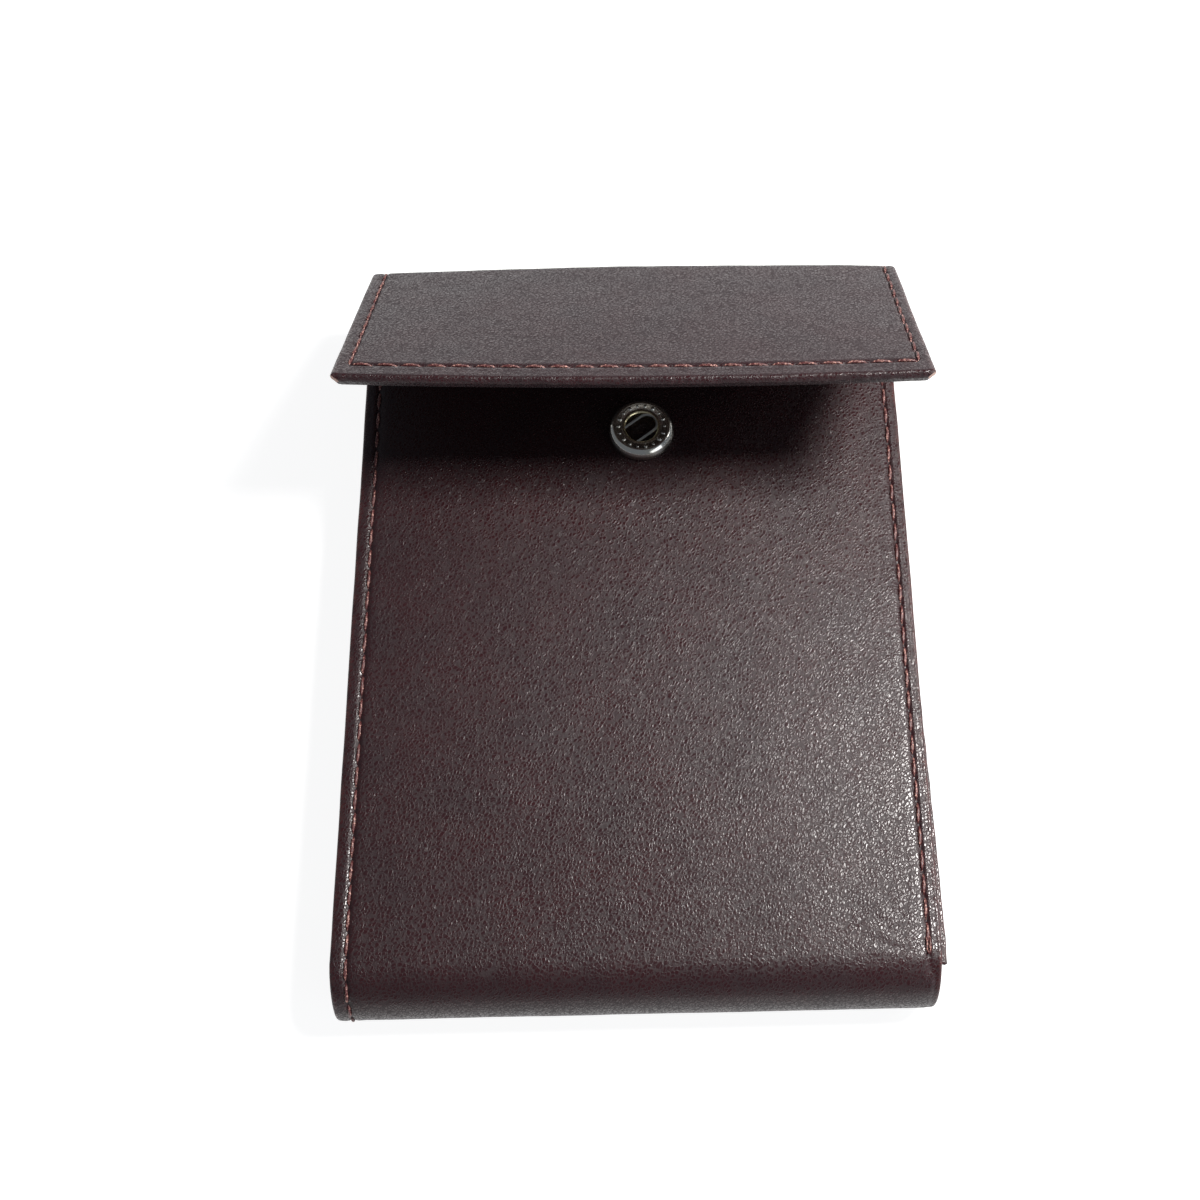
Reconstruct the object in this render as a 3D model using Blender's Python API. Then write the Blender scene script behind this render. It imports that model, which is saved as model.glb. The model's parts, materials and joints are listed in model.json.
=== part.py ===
"""Business card case with a snap flap, lying on its back with the flap sprung half open.

X runs across the case, Y from the bottom fold to the flap fold and Z up from the table.
The origin is on the table, under the middle of the case.

One strip of leather makes the front, the bottom fold, the back, the spine and the flap.
Here it is three solids, because it bends at two folds:
  case   front, bottom fold and back, with the gussets and the snap socket
  spine  the narrow wall over the card mouth, which turns at the back's upper edge
  flap   the lid with the snap stud, which turns at the spine's upper edge
"""

import math

import bmesh
import bpy
from mathutils import Matrix, Vector

# Driving dimensions, in metres.
CASE_WIDTH = 0.075
CASE_LENGTH = 0.103
CASE_THICKNESS = 0.0115
FLAP_REACH = 0.0369  # from the flap fold's axis to the free edge
FLAP_REST_DEG = 36.0  # how far the flap stands open from the closed position
SNAP_FROM_TOP = 0.0242  # from the spine's outer face to the snap's centre
SNAP_OFFSET_X = 0.0015  # the snap was set a little right of the middle
SNAP_HEIGHT = 0.0020  # the socket's top over the front leather

# Layers and the air between pieces that touch.
LEATHER = 0.0008
GUSSET_LEATHER = 0.0006
LINING = 0.0004
BODY_BOARD = 0.0005
FLAP_BOARD = 0.0003
AIR = 0.00025
CUT_THROUGH = 0.001  # how far a cutter runs past the face that it opens

# The two folds. An axis lies this far inside both outer faces that it joins.
FOLD_INSET = 0.0020
FOLD_CLEARANCE = 0.00015
STUD_FLANGE = 0.0005

# Edges of the layers.
FRONT_EDGE_INSET = 0.0030  # the front's upper edge, under the spine's outer face
LINING_EDGE_INSET = 0.0006
BOARD_EDGE_INSET = 0.0020
GUSSET_TOP_INSET = 0.0042
BOARD_HALF_WIDTH = 0.0332
LINING_HALF_WIDTH = 0.0325

# Gusset section: a flange in each seam and a wall folded inwards.
GUSSET_EDGE_X = 0.0372
GUSSET_BEND_X = 0.0342
GUSSET_FOLD_X = 0.0298

# Seams.
LEFT_SEAM_MARGIN = 0.0020
RIGHT_SEAM_MARGIN = 0.0017
FLAP_END_SEAM_MARGIN = 0.0028
GROOVE_WIDTH = 0.0011
GROOVE_DEPTH = 0.00045
THREAD_WIDTH = 0.0005
THREAD_HEIGHT = 0.0002
SEAM_TOP_INSET = 0.0050
BACK_TACK_RISE = 0.0005  # the right front seam ends this far above the bottom fold

# Flap.
FLAP_LIP = 0.0012  # the turned edge around the lining
FLAP_CORNER_CUT = 0.0013

# Snap, as radii and heights.
SOCKET_RADIUS = 0.00465
SOCKET_BORE = 0.0022
SPRING_GROOVE_RADIUS = 0.0027
SPRING_GROOVE_LOW = 0.0010
SPRING_GROOVE_HIGH = 0.0015
SPRING_WIRE_RADIUS = 0.0002
SPRING_LEG_OFFSET = 0.0014
SPRING_BEND_SHIFT = 0.0010
SPRING_LEG_END = -0.0019
SPRING_TURN_DEG = 38.0
POST_RADIUS = 0.0015
POST_HOLE_RADIUS = 0.0018
POST_FLANGE_RADIUS = 0.0045
POST_FLANGE = 0.0004
POST_RISE = 0.0002
STUD_RADIUS = 0.0046
STUD_NECK = 0.0011
STUD_HEAD = 0.00175
STUD_LENGTH = 0.0018
RIVET_HEAD_RADIUS = 0.0040
RIVET_PIN_RADIUS = 0.0009
RIVET_HOLE_RADIUS = 0.0012
RIVET_RECESS = 0.00035

FOLD_STEPS = 14
ROUND_STEPS = 40
HOLE_STEPS = 24
WIRE_SIDES_RESOLUTION = 2

# Values worked out from the ones above.
HALF_WIDTH = CASE_WIDTH / 2
TOP_Y = CASE_LENGTH / 2
BOTTOM_Y = -CASE_LENGTH / 2
FOLD_RADIUS = CASE_THICKNESS / 2
FOLD_CENTRE_Y = BOTTOM_Y + FOLD_RADIUS
BOARD_DEPTH = LEATHER + AIR
LINING_DEPTH = BOARD_DEPTH + BODY_BOARD + AIR
WALL_DEPTH = LINING_DEPTH + LINING
FRONT_EDGE_Y = TOP_Y - FRONT_EDGE_INSET
BACK_EDGE_Y = TOP_Y - FOLD_INSET - FOLD_CLEARANCE
GUSSET_DEPTH = BOARD_DEPTH + GUSSET_LEATHER / 2
LEFT_SEAM_X = LEFT_SEAM_MARGIN - HALF_WIDTH
RIGHT_SEAM_X = HALF_WIDTH - RIGHT_SEAM_MARGIN
SPINE_AXIS = Vector((0, TOP_Y - FOLD_INSET, FOLD_INSET))
FLAP_AXIS_Z = CASE_THICKNESS + SNAP_HEIGHT + AIR + STUD_FLANGE + AIR
FLAP_AXIS = Vector((0, TOP_Y - FOLD_INSET, FLAP_AXIS_Z))
SPINE_HEIGHT = FLAP_AXIS_Z - SPINE_AXIS.z
FLAP_BOARD_Z = LINING + AIR
FLAP_THICKNESS = FLAP_BOARD_Z + FLAP_BOARD + AIR + LEATHER
SNAP_CENTRE = Vector((SNAP_OFFSET_X, TOP_Y - SNAP_FROM_TOP, 0))
SOCKET_BASE_Z = CASE_THICKNESS + AIR
SOCKET_HEIGHT = SNAP_HEIGHT - AIR
STUD_ON_FLAP = Vector((SNAP_OFFSET_X, SNAP_CENTRE.y - FLAP_AXIS.y, 0))


def clear_scene():
    for old in list(bpy.data.objects):
        bpy.data.objects.remove(old, do_unlink=True)


def make_material(name, colour, roughness, metallic=0.0):
    """A Principled material of one plain colour."""
    material = bpy.data.materials.new(name)
    material.use_nodes = True
    shader = material.node_tree.nodes["Principled BSDF"]
    shader.inputs["Base Color"].default_value = (*colour, 1.0)
    shader.inputs["Roughness"].default_value = roughness
    shader.inputs["Metallic"].default_value = metallic
    material.diffuse_color = (*colour, 1.0)
    return material


def add_object(name, bm, material, parent=None, smooth=False):
    """Turns a bmesh into a named object, under a pivot if one is given."""
    bmesh.ops.recalc_face_normals(bm, faces=bm.faces)
    mesh = bpy.data.meshes.new(name)
    bm.to_mesh(mesh)
    bm.free()
    if smooth:
        mesh.shade_smooth()
        mesh.set_sharp_from_angle(angle=math.radians(35))
    if material:
        mesh.materials.append(material)
    obj = bpy.data.objects.new(name, mesh)
    bpy.context.scene.collection.objects.link(obj)
    obj.parent = parent
    return obj


def add_pivot(name, location, parent=None, turn_x=0.0):
    """An empty on a fold's axis, which the pieces beyond the fold hang on."""
    pivot = bpy.data.objects.new(name, None)
    pivot.location = location
    pivot.rotation_euler = (turn_x, 0, 0)
    pivot.parent = parent
    bpy.context.scene.collection.objects.link(pivot)
    return pivot


def prism(points, along):
    """A closed outline swept along a vector."""
    bm = bmesh.new()
    face = bm.faces.new([bm.verts.new(p) for p in points])
    swept = bmesh.ops.extrude_face_region(bm, geom=[face])
    moved = [v for v in swept["geom"] if isinstance(v, bmesh.types.BMVert)]
    bmesh.ops.translate(bm, verts=moved, vec=along)
    return bm


def box(low, high):
    """A block between two corners."""
    low, high = Vector(low), Vector(high)
    bm = bmesh.new()
    place = Matrix.Translation((low + high) / 2) @ Matrix.Diagonal((*(high - low), 1))
    bmesh.ops.create_cube(bm, size=1, matrix=place)
    return bm


def turned(profile, centre):
    """A closed (radius, height) profile spun round a vertical axis."""
    bm = bmesh.new()
    verts = [bm.verts.new(centre + Vector((r, 0, z))) for r, z in profile]
    edges = [bm.edges.new((v, verts[i - 1])) for i, v in enumerate(verts)]
    bmesh.ops.spin(
        bm, geom=verts + edges, cent=centre, axis=(0, 0, 1),
        angle=2 * math.pi, steps=ROUND_STEPS, use_merge=True,
    )
    bmesh.ops.remove_doubles(bm, verts=bm.verts, dist=1e-7)
    bmesh.ops.dissolve_degenerate(bm, edges=bm.edges, dist=1e-7)
    return bm


def cut(target, bm, label):
    """Cuts a shape out of a piece, with a cutter that stays as a hidden guide."""
    cutter = add_object(f"{target.name}_{label}_cutter", bm, None, target.parent)
    cutter.display_type = "WIRE"
    cutter.hide_render = True
    modifier = target.modifiers.new(label, "BOOLEAN")
    modifier.operation = "DIFFERENCE"
    modifier.solver = "EXACT"
    modifier.object = cutter


def cut_hole(target, centre, radius, low, high, label):
    """Drills a vertical round hole between two heights."""
    bm = bmesh.new()
    place = Matrix.Translation((centre.x, centre.y, (low + high) / 2))
    bmesh.ops.create_cone(
        bm, cap_ends=True, segments=HOLE_STEPS, radius1=radius, radius2=radius,
        depth=high - low, matrix=place,
    )
    cut(target, bm, label)


def wrap_line(depth, front_end, back_end):
    """The strip's side view at a depth under the leather's face: back, bottom fold, front."""
    radius = FOLD_RADIUS - depth
    line = [(back_end, depth)]
    for step in range(FOLD_STEPS + 1):
        angle = -math.pi / 2 - math.pi * step / FOLD_STEPS
        y = FOLD_CENTRE_Y + radius * math.cos(angle)
        line.append((y, FOLD_RADIUS + radius * math.sin(angle)))
    line.append((front_end, CASE_THICKNESS - depth))
    return line


def wrap_band(outer, inner, front_end, back_end, x_low, x_high):
    """A layer of the wrap between two depths, as wide as given."""
    outline = wrap_line(outer, front_end, back_end)
    outline += reversed(wrap_line(inner, front_end, back_end))
    return prism([(x_low, y, z) for y, z in outline], (x_high - x_low, 0, 0))


def seam_x(centre, width):
    return centre - width / 2, centre + width / 2


def build_outer_wrap(leather):
    """Front, bottom fold and back, with the channels that the seams lie in."""
    wrap = add_object(
        "outer_wrap",
        wrap_band(0, LEATHER, FRONT_EDGE_Y, BACK_EDGE_Y, -HALF_WIDTH, HALF_WIDTH),
        leather, smooth=True,
    )
    x_low, x_high = seam_x(LEFT_SEAM_X, GROOVE_WIDTH)
    ends = (FRONT_EDGE_Y + CUT_THROUGH, BACK_EDGE_Y + CUT_THROUGH)
    cut(wrap, wrap_band(-CUT_THROUGH, GROOVE_DEPTH, *ends, x_low, x_high), "left_channel")
    x_low, x_high = seam_x(RIGHT_SEAM_X, GROOVE_WIDTH)
    top = CASE_THICKNESS
    front = box(
        (x_low, FOLD_CENTRE_Y, top - GROOVE_DEPTH), (x_high, ends[0], top + CUT_THROUGH)
    )
    cut(wrap, front, "right_front_channel")
    back = box((x_low, FOLD_CENTRE_Y, -CUT_THROUGH), (x_high, ends[1], GROOVE_DEPTH))
    cut(wrap, back, "right_back_channel")
    cut_hole(
        wrap, SNAP_CENTRE, POST_HOLE_RADIUS,
        top - LEATHER - CUT_THROUGH, top + CUT_THROUGH, "post_hole",
    )


def build_wrap_lining(lining):
    """The inner skin of the front, the bottom fold and the back."""
    bm = wrap_band(
        LINING_DEPTH, WALL_DEPTH,
        FRONT_EDGE_Y - LINING_EDGE_INSET, BACK_EDGE_Y - LINING_EDGE_INSET,
        -LINING_HALF_WIDTH, LINING_HALF_WIDTH,
    )
    skin = add_object("wrap_lining", bm, lining, smooth=True)
    face = CASE_THICKNESS - LINING_DEPTH
    cut_hole(
        skin, SNAP_CENTRE, POST_HOLE_RADIUS,
        face - LINING - CUT_THROUGH, face + CUT_THROUGH, "post_hole",
    )


def build_boards(board):
    """The stiffening boards between the leather and the lining, front and back."""
    low_y = FOLD_CENTRE_Y
    high_z = CASE_THICKNESS - BOARD_DEPTH
    front = add_object(
        "front_board",
        box(
            (-BOARD_HALF_WIDTH, low_y, high_z - BODY_BOARD),
            (BOARD_HALF_WIDTH, FRONT_EDGE_Y - BOARD_EDGE_INSET, high_z),
        ),
        board,
    )
    cut_hole(
        front, SNAP_CENTRE, POST_HOLE_RADIUS,
        high_z - BODY_BOARD - CUT_THROUGH, high_z + CUT_THROUGH, "post_hole",
    )
    add_object(
        "back_board",
        box(
            (-BOARD_HALF_WIDTH, low_y, BOARD_DEPTH),
            (BOARD_HALF_WIDTH, BACK_EDGE_Y - BOARD_EDGE_INSET, BOARD_DEPTH + BODY_BOARD),
        ),
        board,
    )


def offset_section(centre_line, thickness):
    """Both sides of a bent sheet, mitred at its bends, as one closed outline."""
    sides = [[], []]
    last = len(centre_line) - 1
    for i, point in enumerate(centre_line):
        before = (point - centre_line[i - 1]).normalized() if i else None
        after = (centre_line[i + 1] - point).normalized() if i < last else None
        normals = [Vector((-d.y, d.x)) for d in (before, after) if d]
        mid = sum(normals, Vector((0, 0))).normalized()
        reach = thickness / 2 / mid.dot(normals[0])
        sides[0].append(point + mid * reach)
        sides[1].append(point - mid * reach)
    return sides[0] + sides[1][::-1]


def build_gussets(leather):
    """The side walls: a strip on each side, sewn into both seams and folded inwards."""
    top = CASE_THICKNESS
    half_section = [
        (GUSSET_EDGE_X, top - GUSSET_DEPTH),
        (GUSSET_BEND_X, top - GUSSET_DEPTH),
        (GUSSET_FOLD_X, top / 2),
        (GUSSET_BEND_X, GUSSET_DEPTH),
        (GUSSET_EDGE_X, GUSSET_DEPTH),
    ]
    length = TOP_Y - GUSSET_TOP_INSET - FOLD_CENTRE_Y
    for side, name in ((-1, "left_gusset"), (1, "right_gusset")):
        centre_line = [Vector((side * x, z)) for x, z in half_section]
        outline = offset_section(centre_line, GUSSET_LEATHER)
        bm = prism([(p.x, FOLD_CENTRE_Y, p.y) for p in outline], (0, length, 0))
        add_object(name, bm, leather)


def build_body_threads(thread):
    """The seams on the case: one all round the left side, two on the right side."""
    x_low, x_high = seam_x(LEFT_SEAM_X, THREAD_WIDTH)
    front_end = TOP_Y - SEAM_TOP_INSET
    back_end = BACK_EDGE_Y - LINING_EDGE_INSET
    left = wrap_band(0, THREAD_HEIGHT, front_end, back_end, x_low, x_high)
    add_object("left_body_thread", left, thread, smooth=True)
    x_low, x_high = seam_x(RIGHT_SEAM_X, THREAD_WIDTH)
    low_y = FOLD_CENTRE_Y + BACK_TACK_RISE
    top = CASE_THICKNESS
    front = box((x_low, low_y, top - THREAD_HEIGHT), (x_high, front_end, top))
    add_object("right_front_thread", front, thread)
    back = box((x_low, low_y, 0), (x_high, back_end, THREAD_HEIGHT))
    add_object("right_back_thread", back, thread)


def socket_profile():
    """The socket's half section: a flat foot, a rounded rim and the spring's groove."""
    rim_radius = SOCKET_HEIGHT * 0.45
    rim_r = SOCKET_RADIUS - rim_radius
    rim_z = SOCKET_HEIGHT - rim_radius
    profile = [(SOCKET_BORE, 0), (SOCKET_RADIUS, 0), (SOCKET_RADIUS, rim_z)]
    for step in range(1, 7):
        angle = math.pi / 2 * step / 6
        profile.append((rim_r + rim_radius * math.cos(angle), rim_z + rim_radius * math.sin(angle)))
    dish_r = SPRING_GROOVE_RADIUS + 0.0002
    dish_z = SOCKET_HEIGHT - 0.0001
    return profile + [
        (dish_r, SOCKET_HEIGHT),
        (SOCKET_BORE + 0.0001, dish_z),
        (SOCKET_BORE, SPRING_GROOVE_HIGH),
        (SPRING_GROOVE_RADIUS, SPRING_GROOVE_HIGH),
        (SPRING_GROOVE_RADIUS, SPRING_GROOVE_LOW),
        (SOCKET_BORE, SPRING_GROOVE_LOW),
    ]


def build_spring(steel):
    """The wire in the socket: two straight legs joined by a bend inside the groove."""
    reach, shift = SPRING_LEG_OFFSET, SPRING_BEND_SHIFT
    route = [(SPRING_LEG_END, -reach)]
    for step in range(13):
        angle = math.pi * (step / 12 - 0.5)
        route.append((shift + reach * math.cos(angle), reach * math.sin(angle)))
    route.append((SPRING_LEG_END, reach))
    curve = bpy.data.curves.new("snap_spring", "CURVE")
    curve.dimensions = "3D"
    curve.bevel_depth = SPRING_WIRE_RADIUS
    curve.bevel_resolution = WIRE_SIDES_RESOLUTION
    curve.use_fill_caps = True
    curve.materials.append(steel)
    spline = curve.splines.new("POLY")
    spline.points.add(len(route) - 1)
    for point, (x, y) in zip(spline.points, route):
        point.co = (x, y, 0, 1)
    spring = bpy.data.objects.new("snap_spring", curve)
    middle = SOCKET_BASE_Z + (SPRING_GROOVE_LOW + SPRING_GROOVE_HIGH) / 2
    spring.location = (SNAP_CENTRE.x, SNAP_CENTRE.y, middle)
    spring.rotation_euler = (0, 0, math.radians(SPRING_TURN_DEG))
    bpy.context.scene.collection.objects.link(spring)


def build_snap_socket(nickel, brass, steel):
    """The female half of the snap, and the post that clamps it from inside the case."""
    centre = Vector((SNAP_CENTRE.x, SNAP_CENTRE.y, SOCKET_BASE_Z))
    add_object("snap_socket", turned(socket_profile(), centre), nickel, smooth=True)
    build_spring(steel)
    flange_top = CASE_THICKNESS - WALL_DEPTH - AIR
    flange_low = flange_top - POST_FLANGE
    post_top = CASE_THICKNESS + POST_RISE
    post = [
        (0, flange_low),
        (POST_FLANGE_RADIUS, flange_low),
        (POST_FLANGE_RADIUS, flange_top),
        (POST_RADIUS, flange_top),
        (POST_RADIUS, post_top),
        (0, post_top),
    ]
    add_object("socket_post", turned(post, SNAP_CENTRE), brass, smooth=True)


def build_spine(pivot, leather, lining, thread):
    """The wall over the card mouth. Its pieces are placed from the lower fold's axis."""
    outer_y = FOLD_INSET
    low_z, high_z = FOLD_CLEARANCE, SPINE_HEIGHT - FOLD_CLEARANCE
    inner_y = outer_y - LEATHER
    wall = add_object(
        "spine_leather",
        box((-HALF_WIDTH, inner_y, low_z), (HALF_WIDTH, outer_y, high_z)),
        leather, pivot,
    )
    skin_y = inner_y - AIR
    skin = box(
        (-LINING_HALF_WIDTH, skin_y - LINING, low_z + LINING_EDGE_INSET),
        (LINING_HALF_WIDTH, skin_y, high_z - LINING_EDGE_INSET),
    )
    add_object("spine_lining", skin, lining, pivot)
    for name, centre in (("left", LEFT_SEAM_X), ("right", RIGHT_SEAM_X)):
        x_low, x_high = seam_x(centre, GROOVE_WIDTH)
        channel = box(
            (x_low, outer_y - GROOVE_DEPTH, -CUT_THROUGH),
            (x_high, outer_y + CUT_THROUGH, SPINE_HEIGHT + CUT_THROUGH),
        )
        cut(wall, channel, f"{name}_channel")
        x_low, x_high = seam_x(centre, THREAD_WIDTH)
        seam = box((x_low, outer_y - THREAD_HEIGHT, low_z), (x_high, outer_y, high_z))
        add_object(f"spine_{name}_thread", seam, thread, pivot)


def flap_seam(width, low_z, high_z, fold_end):
    """A U in plan: down the left side, along the free edge and up the right side."""
    half = width / 2
    end_y = FLAP_END_SEAM_MARGIN - FLAP_REACH
    outer = [
        (LEFT_SEAM_X - half, fold_end),
        (LEFT_SEAM_X - half, end_y - half),
        (RIGHT_SEAM_X + half, end_y - half),
        (RIGHT_SEAM_X + half, fold_end),
    ]
    inner = [
        (RIGHT_SEAM_X - half, fold_end),
        (RIGHT_SEAM_X - half, end_y + half),
        (LEFT_SEAM_X + half, end_y + half),
        (LEFT_SEAM_X + half, fold_end),
    ]
    return prism([(x, y, low_z) for x, y in outer + inner], (0, 0, high_z - low_z))


def build_flap_leather(pivot, leather):
    """The flap's outer leather, turned over at its edges around the lining."""
    end_y, cut_size = -FLAP_REACH, FLAP_CORNER_CUT
    outline = [
        (-HALF_WIDTH, -FOLD_CLEARANCE),
        (-HALF_WIDTH, end_y + cut_size),
        (cut_size - HALF_WIDTH, end_y),
        (HALF_WIDTH - cut_size, end_y),
        (HALF_WIDTH, end_y + cut_size),
        (HALF_WIDTH, -FOLD_CLEARANCE),
    ]
    bm = prism([(x, y, 0) for x, y in outline], (0, 0, FLAP_THICKNESS))
    sheet = add_object("flap_leather", bm, leather, pivot)
    tray = box(
        (FLAP_LIP - HALF_WIDTH, end_y + FLAP_LIP, -CUT_THROUGH),
        (HALF_WIDTH - FLAP_LIP, -FOLD_CLEARANCE - FLAP_LIP, FLAP_THICKNESS - LEATHER),
    )
    cut(sheet, tray, "tray")
    channel = flap_seam(
        GROOVE_WIDTH, FLAP_THICKNESS - GROOVE_DEPTH, FLAP_THICKNESS + CUT_THROUGH, CUT_THROUGH
    )
    cut(sheet, channel, "channel")


def build_flap_layers(pivot, lining, board, thread):
    """The lining and the board inside the flap, and the seam on it."""
    inset = FLAP_LIP + AIR
    low = (inset - HALF_WIDTH, inset - FLAP_REACH)
    high = (HALF_WIDTH - inset, -FOLD_CLEARANCE - inset)
    skin = add_object("flap_lining", box((*low, 0), (*high, LINING)), lining, pivot)
    cut_hole(
        skin, STUD_ON_FLAP, RIVET_HOLE_RADIUS, -CUT_THROUGH, LINING + CUT_THROUGH, "pin_hole"
    )
    top = FLAP_BOARD_Z + FLAP_BOARD
    stiffener = add_object(
        "flap_board", box((*low, FLAP_BOARD_Z), (*high, top)), board, pivot
    )
    cut_hole(
        stiffener, STUD_ON_FLAP, RIVET_HEAD_RADIUS + AIR,
        FLAP_BOARD_Z - CUT_THROUGH, top + CUT_THROUGH, "rivet_hole",
    )
    seam = flap_seam(
        THREAD_WIDTH, FLAP_THICKNESS - THREAD_HEIGHT, FLAP_THICKNESS, -FOLD_CLEARANCE
    )
    add_object("flap_thread", seam, thread, pivot)


def build_snap_stud(pivot, nickel, brass):
    """The male half of the snap under the flap, and its rivet hidden over the lining."""
    flange_top = -AIR
    flange_low = flange_top - STUD_FLANGE
    tip = flange_low - STUD_LENGTH
    recess = flange_top - RIVET_RECESS
    stud = [
        (0, recess),
        (RIVET_HOLE_RADIUS, recess),
        (RIVET_HOLE_RADIUS, flange_top),
        (STUD_RADIUS, flange_top),
        (STUD_RADIUS, flange_low),
        (STUD_NECK, flange_low),
        (STUD_NECK, tip + 0.0008),
        (STUD_HEAD, tip + 0.0006),
        (STUD_HEAD, tip + 0.0003),
        (STUD_HEAD - 0.0004, tip),
        (0, tip),
    ]
    add_object("snap_stud", turned(stud, STUD_ON_FLAP), nickel, pivot, smooth=True)
    head_top = FLAP_BOARD_Z + FLAP_BOARD
    pin_low = recess + AIR
    rivet = [
        (0, pin_low),
        (RIVET_PIN_RADIUS, pin_low),
        (RIVET_PIN_RADIUS, FLAP_BOARD_Z),
        (RIVET_HEAD_RADIUS, FLAP_BOARD_Z),
        (RIVET_HEAD_RADIUS, head_top),
        (0, head_top),
    ]
    add_object("stud_rivet", turned(rivet, STUD_ON_FLAP), brass, pivot, smooth=True)


def main():
    clear_scene()
    leather = make_material("brown_leather", (0.045, 0.022, 0.020), 0.45)
    lining = make_material("lining_cloth", (0.030, 0.018, 0.015), 0.85)
    board = make_material("grey_board", (0.30, 0.26, 0.21), 0.90)
    thread = make_material("red_brown_thread", (0.18, 0.035, 0.028), 0.65)
    nickel = make_material("nickel", (0.66, 0.65, 0.62), 0.18, 1.0)
    brass = make_material("brass", (0.55, 0.46, 0.28), 0.30, 1.0)
    steel = make_material("spring_steel", (0.55, 0.55, 0.54), 0.25, 1.0)

    build_outer_wrap(leather)
    build_wrap_lining(lining)
    build_boards(board)
    build_gussets(leather)
    build_body_threads(thread)
    build_snap_socket(nickel, brass, steel)

    spine_pivot = add_pivot("spine_pivot", SPINE_AXIS)
    build_spine(spine_pivot, leather, lining, thread)

    flap_pivot = add_pivot(
        "flap_pivot", FLAP_AXIS - SPINE_AXIS, spine_pivot, -math.radians(FLAP_REST_DEG)
    )
    build_flap_leather(flap_pivot, leather)
    build_flap_layers(flap_pivot, lining, board, thread)
    build_snap_stud(flap_pivot, nickel, brass)


main()
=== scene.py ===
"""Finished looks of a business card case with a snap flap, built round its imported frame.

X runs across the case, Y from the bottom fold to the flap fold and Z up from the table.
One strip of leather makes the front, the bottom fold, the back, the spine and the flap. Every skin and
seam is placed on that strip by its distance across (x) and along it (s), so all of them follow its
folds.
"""

import json
import math

import bmesh
import bpy
from mathutils import Matrix, Quaternion, Vector, noise


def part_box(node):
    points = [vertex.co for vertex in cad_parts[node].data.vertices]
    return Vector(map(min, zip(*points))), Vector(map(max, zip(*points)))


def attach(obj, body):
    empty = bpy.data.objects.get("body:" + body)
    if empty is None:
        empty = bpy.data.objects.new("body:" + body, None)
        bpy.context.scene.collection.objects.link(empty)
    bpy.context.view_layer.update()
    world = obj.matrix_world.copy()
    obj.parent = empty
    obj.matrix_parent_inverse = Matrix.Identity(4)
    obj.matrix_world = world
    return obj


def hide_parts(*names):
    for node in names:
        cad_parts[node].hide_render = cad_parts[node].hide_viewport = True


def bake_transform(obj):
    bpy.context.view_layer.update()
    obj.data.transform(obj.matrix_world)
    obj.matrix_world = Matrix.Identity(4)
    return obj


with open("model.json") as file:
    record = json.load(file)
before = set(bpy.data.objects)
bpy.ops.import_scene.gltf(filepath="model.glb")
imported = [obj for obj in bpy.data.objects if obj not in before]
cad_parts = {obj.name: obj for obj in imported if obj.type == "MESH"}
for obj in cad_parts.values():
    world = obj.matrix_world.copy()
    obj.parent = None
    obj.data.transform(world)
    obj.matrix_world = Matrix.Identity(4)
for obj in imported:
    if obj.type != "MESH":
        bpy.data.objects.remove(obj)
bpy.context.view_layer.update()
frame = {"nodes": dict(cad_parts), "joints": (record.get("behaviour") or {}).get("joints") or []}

bl_info = {
    "name": "Snap Card Case",
    "version": (1, 0, 0),
    "blender": (4, 5, 0),
    "location": "3D View > Sidebar > Card Case",
    "description": "Leather, seams, lining, gussets and snap of a business card case",
    "category": "Object",
}

MM = 0.001

# ------------------------------------------------------------------ the frame's own sizes

WRAP_LOW, WRAP_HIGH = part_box("outer_wrap")
SOCKET_LOW, SOCKET_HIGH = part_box("snap_socket")
JOINTS = {joint["name"]: joint for joint in frame["joints"]}
LOWER_AXIS = Vector(JOINTS["spine_fold"]["pos_m"])
UPPER_AXIS = Vector(JOINTS["flap_fold"]["pos_m"])
REST_OPEN = -JOINTS["flap_fold"]["range_deg"][0]

HALF_WIDTH = WRAP_HIGH.x
THICKNESS = WRAP_HIGH.z
TOP_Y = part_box("spine_leather")[1].y
LENGTH = TOP_Y - WRAP_LOW.y
BOTTOM_RADIUS = THICKNESS / 2
BOTTOM_CENTRE_Y = WRAP_LOW.y + BOTTOM_RADIUS
FOLD_RADIUS = TOP_Y - LOWER_AXIS.y
BOARD_INSET = 2.0 * MM
MOUTH_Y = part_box("front_board")[1].y + BOARD_INSET
FLAP_SETBACK = 0.8 * MM
FLAP_SLANT = (UPPER_AXIS.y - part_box("flap_leather")[0].y) / math.cos(math.radians(REST_OPEN))
FLAP_REACH = FLAP_SLANT - FLAP_SETBACK
FLAP_TURN = 90.0 - REST_OPEN

LEFT_LOW, LEFT_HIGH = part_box("left_body_thread")
RIGHT_LOW, RIGHT_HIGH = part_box("right_front_thread")
LEFT_SEAM = (LEFT_LOW.x + LEFT_HIGH.x) / 2
RIGHT_SEAM = (RIGHT_LOW.x + RIGHT_HIGH.x) / 2
RIGHT_SEAM_LOW_Y = RIGHT_LOW.y
FRONT_SEAM_TOP_Y = RIGHT_HIGH.y
END_SEAM_MARGIN = 3.3 * MM

SNAP = Vector(((SOCKET_LOW.x + SOCKET_HIGH.x) / 2, (SOCKET_LOW.y + SOCKET_HIGH.y) / 2, 0))
SNAP_RADIUS = (SOCKET_HIGH.x - SOCKET_LOW.x) / 2
SNAP_TOP = SOCKET_HIGH.z
SNAP_BORE = 2.2 * MM

# ------------------------------------------------------------------ layers of the strip

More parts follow.
